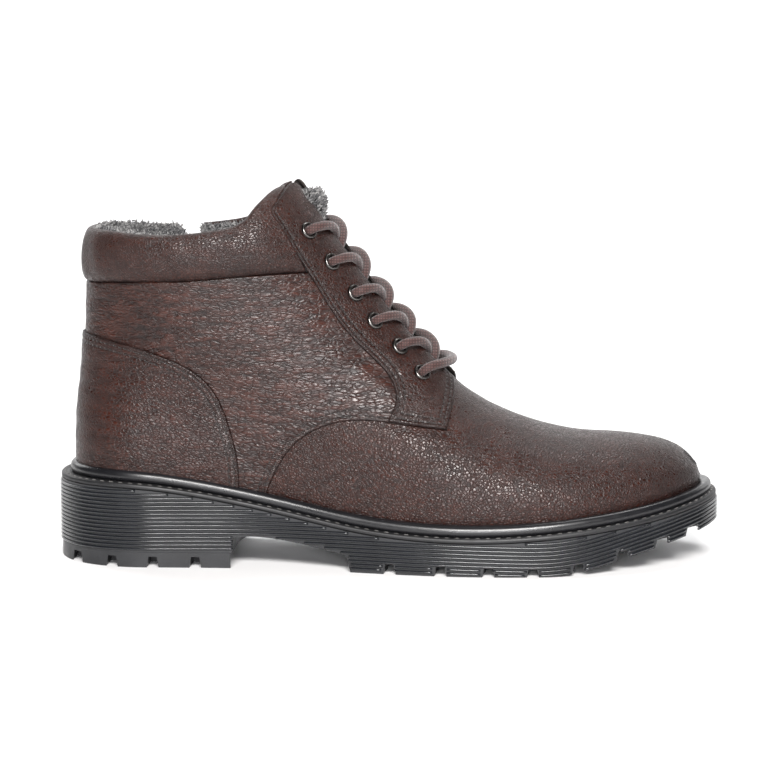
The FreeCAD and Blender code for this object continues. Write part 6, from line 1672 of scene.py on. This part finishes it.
lump = Lump()
rib_h, rib_p, pitch = 0.66, 0.85, 1.78
zb = ev(TREADZ, EX)
zt = ev(Z0, EX) - 2.42
for r in range(22):
    zc = zb + 0.95 + pitch * r
    ok = (zc + rib_h < zt) & (zc - rib_h > zb * 0 + np.where(wall_bottom(EX) > 0, wall_bottom(EX), zb) + 0.15)
    for xn in FN:
        zn = max(0.0, float(ev(TREADZ, xn)))
        half = 5.4 * (0.62 + (0.36 - 0.62) * (zc - (zn - 3)) / (4 * 0.8 + 3))
        ok &= ~((np.abs(EX - xn) < half + 0.35) & (zc - rib_h < zn + 4 * 0.8 + 0.2))
    idx = np.where(ok)[0]
    if not len(idx):
        continue
    runs = np.split(idx, np.where(np.diff(idx) > 1)[0] + 1)
    if len(runs) > 1 and runs[0][0] == 0 and runs[-1][-1] == nr - 1:
        runs[0] = np.concatenate([runs[-1], runs[0]])
        runs.pop()
    for run in runs:
        if len(run) < 4:
            continue
        full = len(run) == nr
        m = 7
        a = np.linspace(-math.pi / 2, math.pi / 2, m)
        fall = np.minimum(1, np.minimum(np.arange(len(run)) + 0.6, len(run) - 0.4 - np.arange(len(run))) / 1.6) if not full else np.ones(len(run))
        V = []
        for q in a:
            o = -0.12 + (rib_p + 0.12) * np.cos(q) * fall
            V.append(np.stack([EX[run] + NX[run] * o, EY[run] + NY[run] * o, zc[run] + rib_h * math.sin(q)], -1))
        V.append(np.stack([EX[run] - NX[run] * 0.25, EY[run] - NY[run] * 0.25, zc[run]], -1))
        V = np.stack(V, 1)
        F = grid_faces(len(run), m + 1, wrap_rows=full, wrap_cols=True)
        V = V.reshape(-1, 3)
        tri = []
        if not full:
            j = np.arange(1, m)
            tri = np.concatenate([np.stack([np.zeros(m - 1, int), j, j + 1], -1), np.stack([np.full(m - 1, (len(run) - 1) * (m + 1)), (len(run) - 1) * (m + 1) + j + 1, (len(run) - 1) * (m + 1) + j], -1)])
        lump.add(V, F, tri, val=0.0)
fix_normals(lump.make("sole_ribs", M_RIB, "boot"))


# ---------------------------------------------------------------- stitches sewn on the panels
def capsule(sides=7):
    prof = [(-1.0, 0.0), (-0.93, 0.62), (-0.6, 1.0), (0.6, 1.0), (0.93, 0.62), (1.0, 0.0)]
    V, Q = [], []
    ang = np.linspace(0, 2 * math.pi, sides, endpoint=False)
    for t, r in prof:
        V.append(np.stack([np.full(sides, t), r * np.cos(ang), r * np.sin(ang)], -1))
    V = np.concatenate(V)
    return V, grid_faces(len(prof), sides, wrap_cols=True)


CAPV, CAPQ = capsule()


def stitch_run(lump, line, nrm, pitch=2.7, long=1.95, rad=0.30, dip=0.28, lift=0.0):
    """Thread stitches along a line of points: each lies on the surface and dips in at its ends."""
    L = np.concatenate([[0], np.cumsum(np.linalg.norm(np.diff(line, axis=0), axis=1))])
    if L[-1] < pitch * 1.5:
        return
    breaks = np.where(np.diff(L) > 3.0)[0]
    n = int(L[-1] / pitch)
    for k in range(n):
        s0 = (k + 0.5) * L[-1] / n
        if any(L[b] - long < s0 < L[b + 1] + long for b in breaks):
            continue
        t = CAPV[:, 0]
        s = s0 + t * long / 2
        P = np.stack([np.interp(s, L, line[:, i]) for i in range(3)], -1)
        N = unit(np.stack([np.interp(s, L, nrm[:, i]) for i in range(3)], -1))
        a = np.array([np.interp(s0 - 0.4, L, line[:, i]) for i in range(3)])
        b = np.array([np.interp(s0 + 0.4, L, line[:, i]) for i in range(3)])
        T = unit(b - a)
        S = unit(np.cross(N, T))
        lump.add(P + S * (CAPV[:, 1] * rad)[:, None] + N * (CAPV[:, 2] * rad * 0.8 + lift + 0.10 - dip * t ** 4)[:, None], CAPQ, val=RNG.random())


lump = Lump()
for line, nrm in STITCHES.get("boot", []):
    stitch_run(lump, line, nrm)
lump.make("seam_stitches", M_THREAD, "boot")
lump = Lump()
stitch_run(lump, WELT_LINE[0], WELT_LINE[1], pitch=4.6, long=2.1, rad=0.33, dip=0.2)
lump.make("welt_stitches", M_WELTTHREAD, "boot")

# ---------------------------------------------------------------- materials of the CAD parts that stay
KEEP = {"toe_puff": M_STIFF, "heel_counter": M_STIFF, "insulation_vamp": M_FELT, "insulation_lateral": M_FELT, "insulation_medial_front": M_FELT, "insulation_medial_rear": M_FELT,
        "tongue_root": M_FACING, "shank": M_STEEL, "cork_filler": M_CORK, "insole_board": M_BOARD, "outsole": M_SOLE, "heel_top_lift": M_SOLE}
for nm, mt in KEEP.items():
    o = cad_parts[nm]
    for k in range(len(o.material_slots)):
        o.material_slots[k].link = "OBJECT"
        o.material_slots[k].material = mt

# ---------------------------------------------------------------- floor and light
fm, nt, bs = new_mat("floor_paper", spec=0.2)
fb = coords(nt)
nt.links.new(ramp(nt, noise(nt, fb, 3.0, 4.0, 0.6), [(0.3, (0.86, 0.86, 0.865)), (0.7, (0.90, 0.90, 0.90))]), bs.inputs["Base Color"])
nt.links.new(ramp(nt, noise(nt, fb, 12.0, 3.0, 0.6), [(0.3, 0.62), (0.7, 0.78)]), bs.inputs["Roughness"])
W, D0, D1, R, HT = 4.0, -2.5, 2.2, 1.1, 3.4
prof = [(D0, 0.0), (D1 - R, 0.0)] + [(D1 - R + R * math.sin(t), R - R * math.cos(t)) for t in np.linspace(0.08, math.pi / 2, 16)] + [(D1, HT)]
V, Q = [], []
for y, z in prof:
    V += [(-W, y, z), (W, y, z)]
fl = bpy.data.meshes.new("floor")
fl.from_pydata(V, [], [(2 * i, 2 * i + 1, 2 * i + 3, 2 * i + 2) for i in range(len(prof) - 1)])
for p in fl.polygons:
    p.use_smooth = True
fl.materials.append(fm)
floor = bpy.data.objects.new("floor", fl)
scene.collection.objects.link(floor)


def area(name, loc, to, size, watts, col=(1, 1, 1), size_y=None):
    ld = bpy.data.lights.new(name, "AREA")
    ld.energy = watts
    ld.color = col
    ld.shape = "RECTANGLE"
    ld.size = size
    ld.size_y = size_y or size
    o = bpy.data.objects.new(name, ld)
    scene.collection.objects.link(o)
    o.location = loc
    o.rotation_mode = "QUATERNION"
    o.rotation_quaternion = (Vector(to) - Vector(loc)).to_track_quat("-Z", "Y")
    return o


area("key", (0.12, -1.50, 1.02), (0.0, 0.0, 0.09), 0.95, 56.0, (1.0, 0.98, 0.965), 0.40)
area("low", (0.06, -1.6, 0.34), (0.0, 0.0, 0.09), 0.7, 12.0, (0.98, 0.975, 1.0), 0.20)
area("top", (0.0, 0.55, 1.8), (0.0, 0.35, 0.0), 1.5, 6.0, (1, 1, 1), 0.9)
area("back", (0.0, 0.85, 2.4), (0.0, 2.1, 0.5), 1.6, 50.0, (1, 1, 1), 0.8)
area("rim", (-1.1, 0.9, 0.8), (0.0, 0.0, 0.10), 0.7, 4.0, (1, 1, 1), 0.7)
area("rim2", (1.1, 0.9, 0.7), (0.0, 0.0, 0.08), 0.7, 3.0, (1, 1, 1), 0.7)

world = bpy.data.worlds.new("studio")
world.use_nodes = True
wt = world.node_tree
wt.nodes["Background"].inputs[0].default_value = (1, 1, 1, 1)
wt.nodes["Background"].inputs[1].default_value = 0.03
scene.world = world
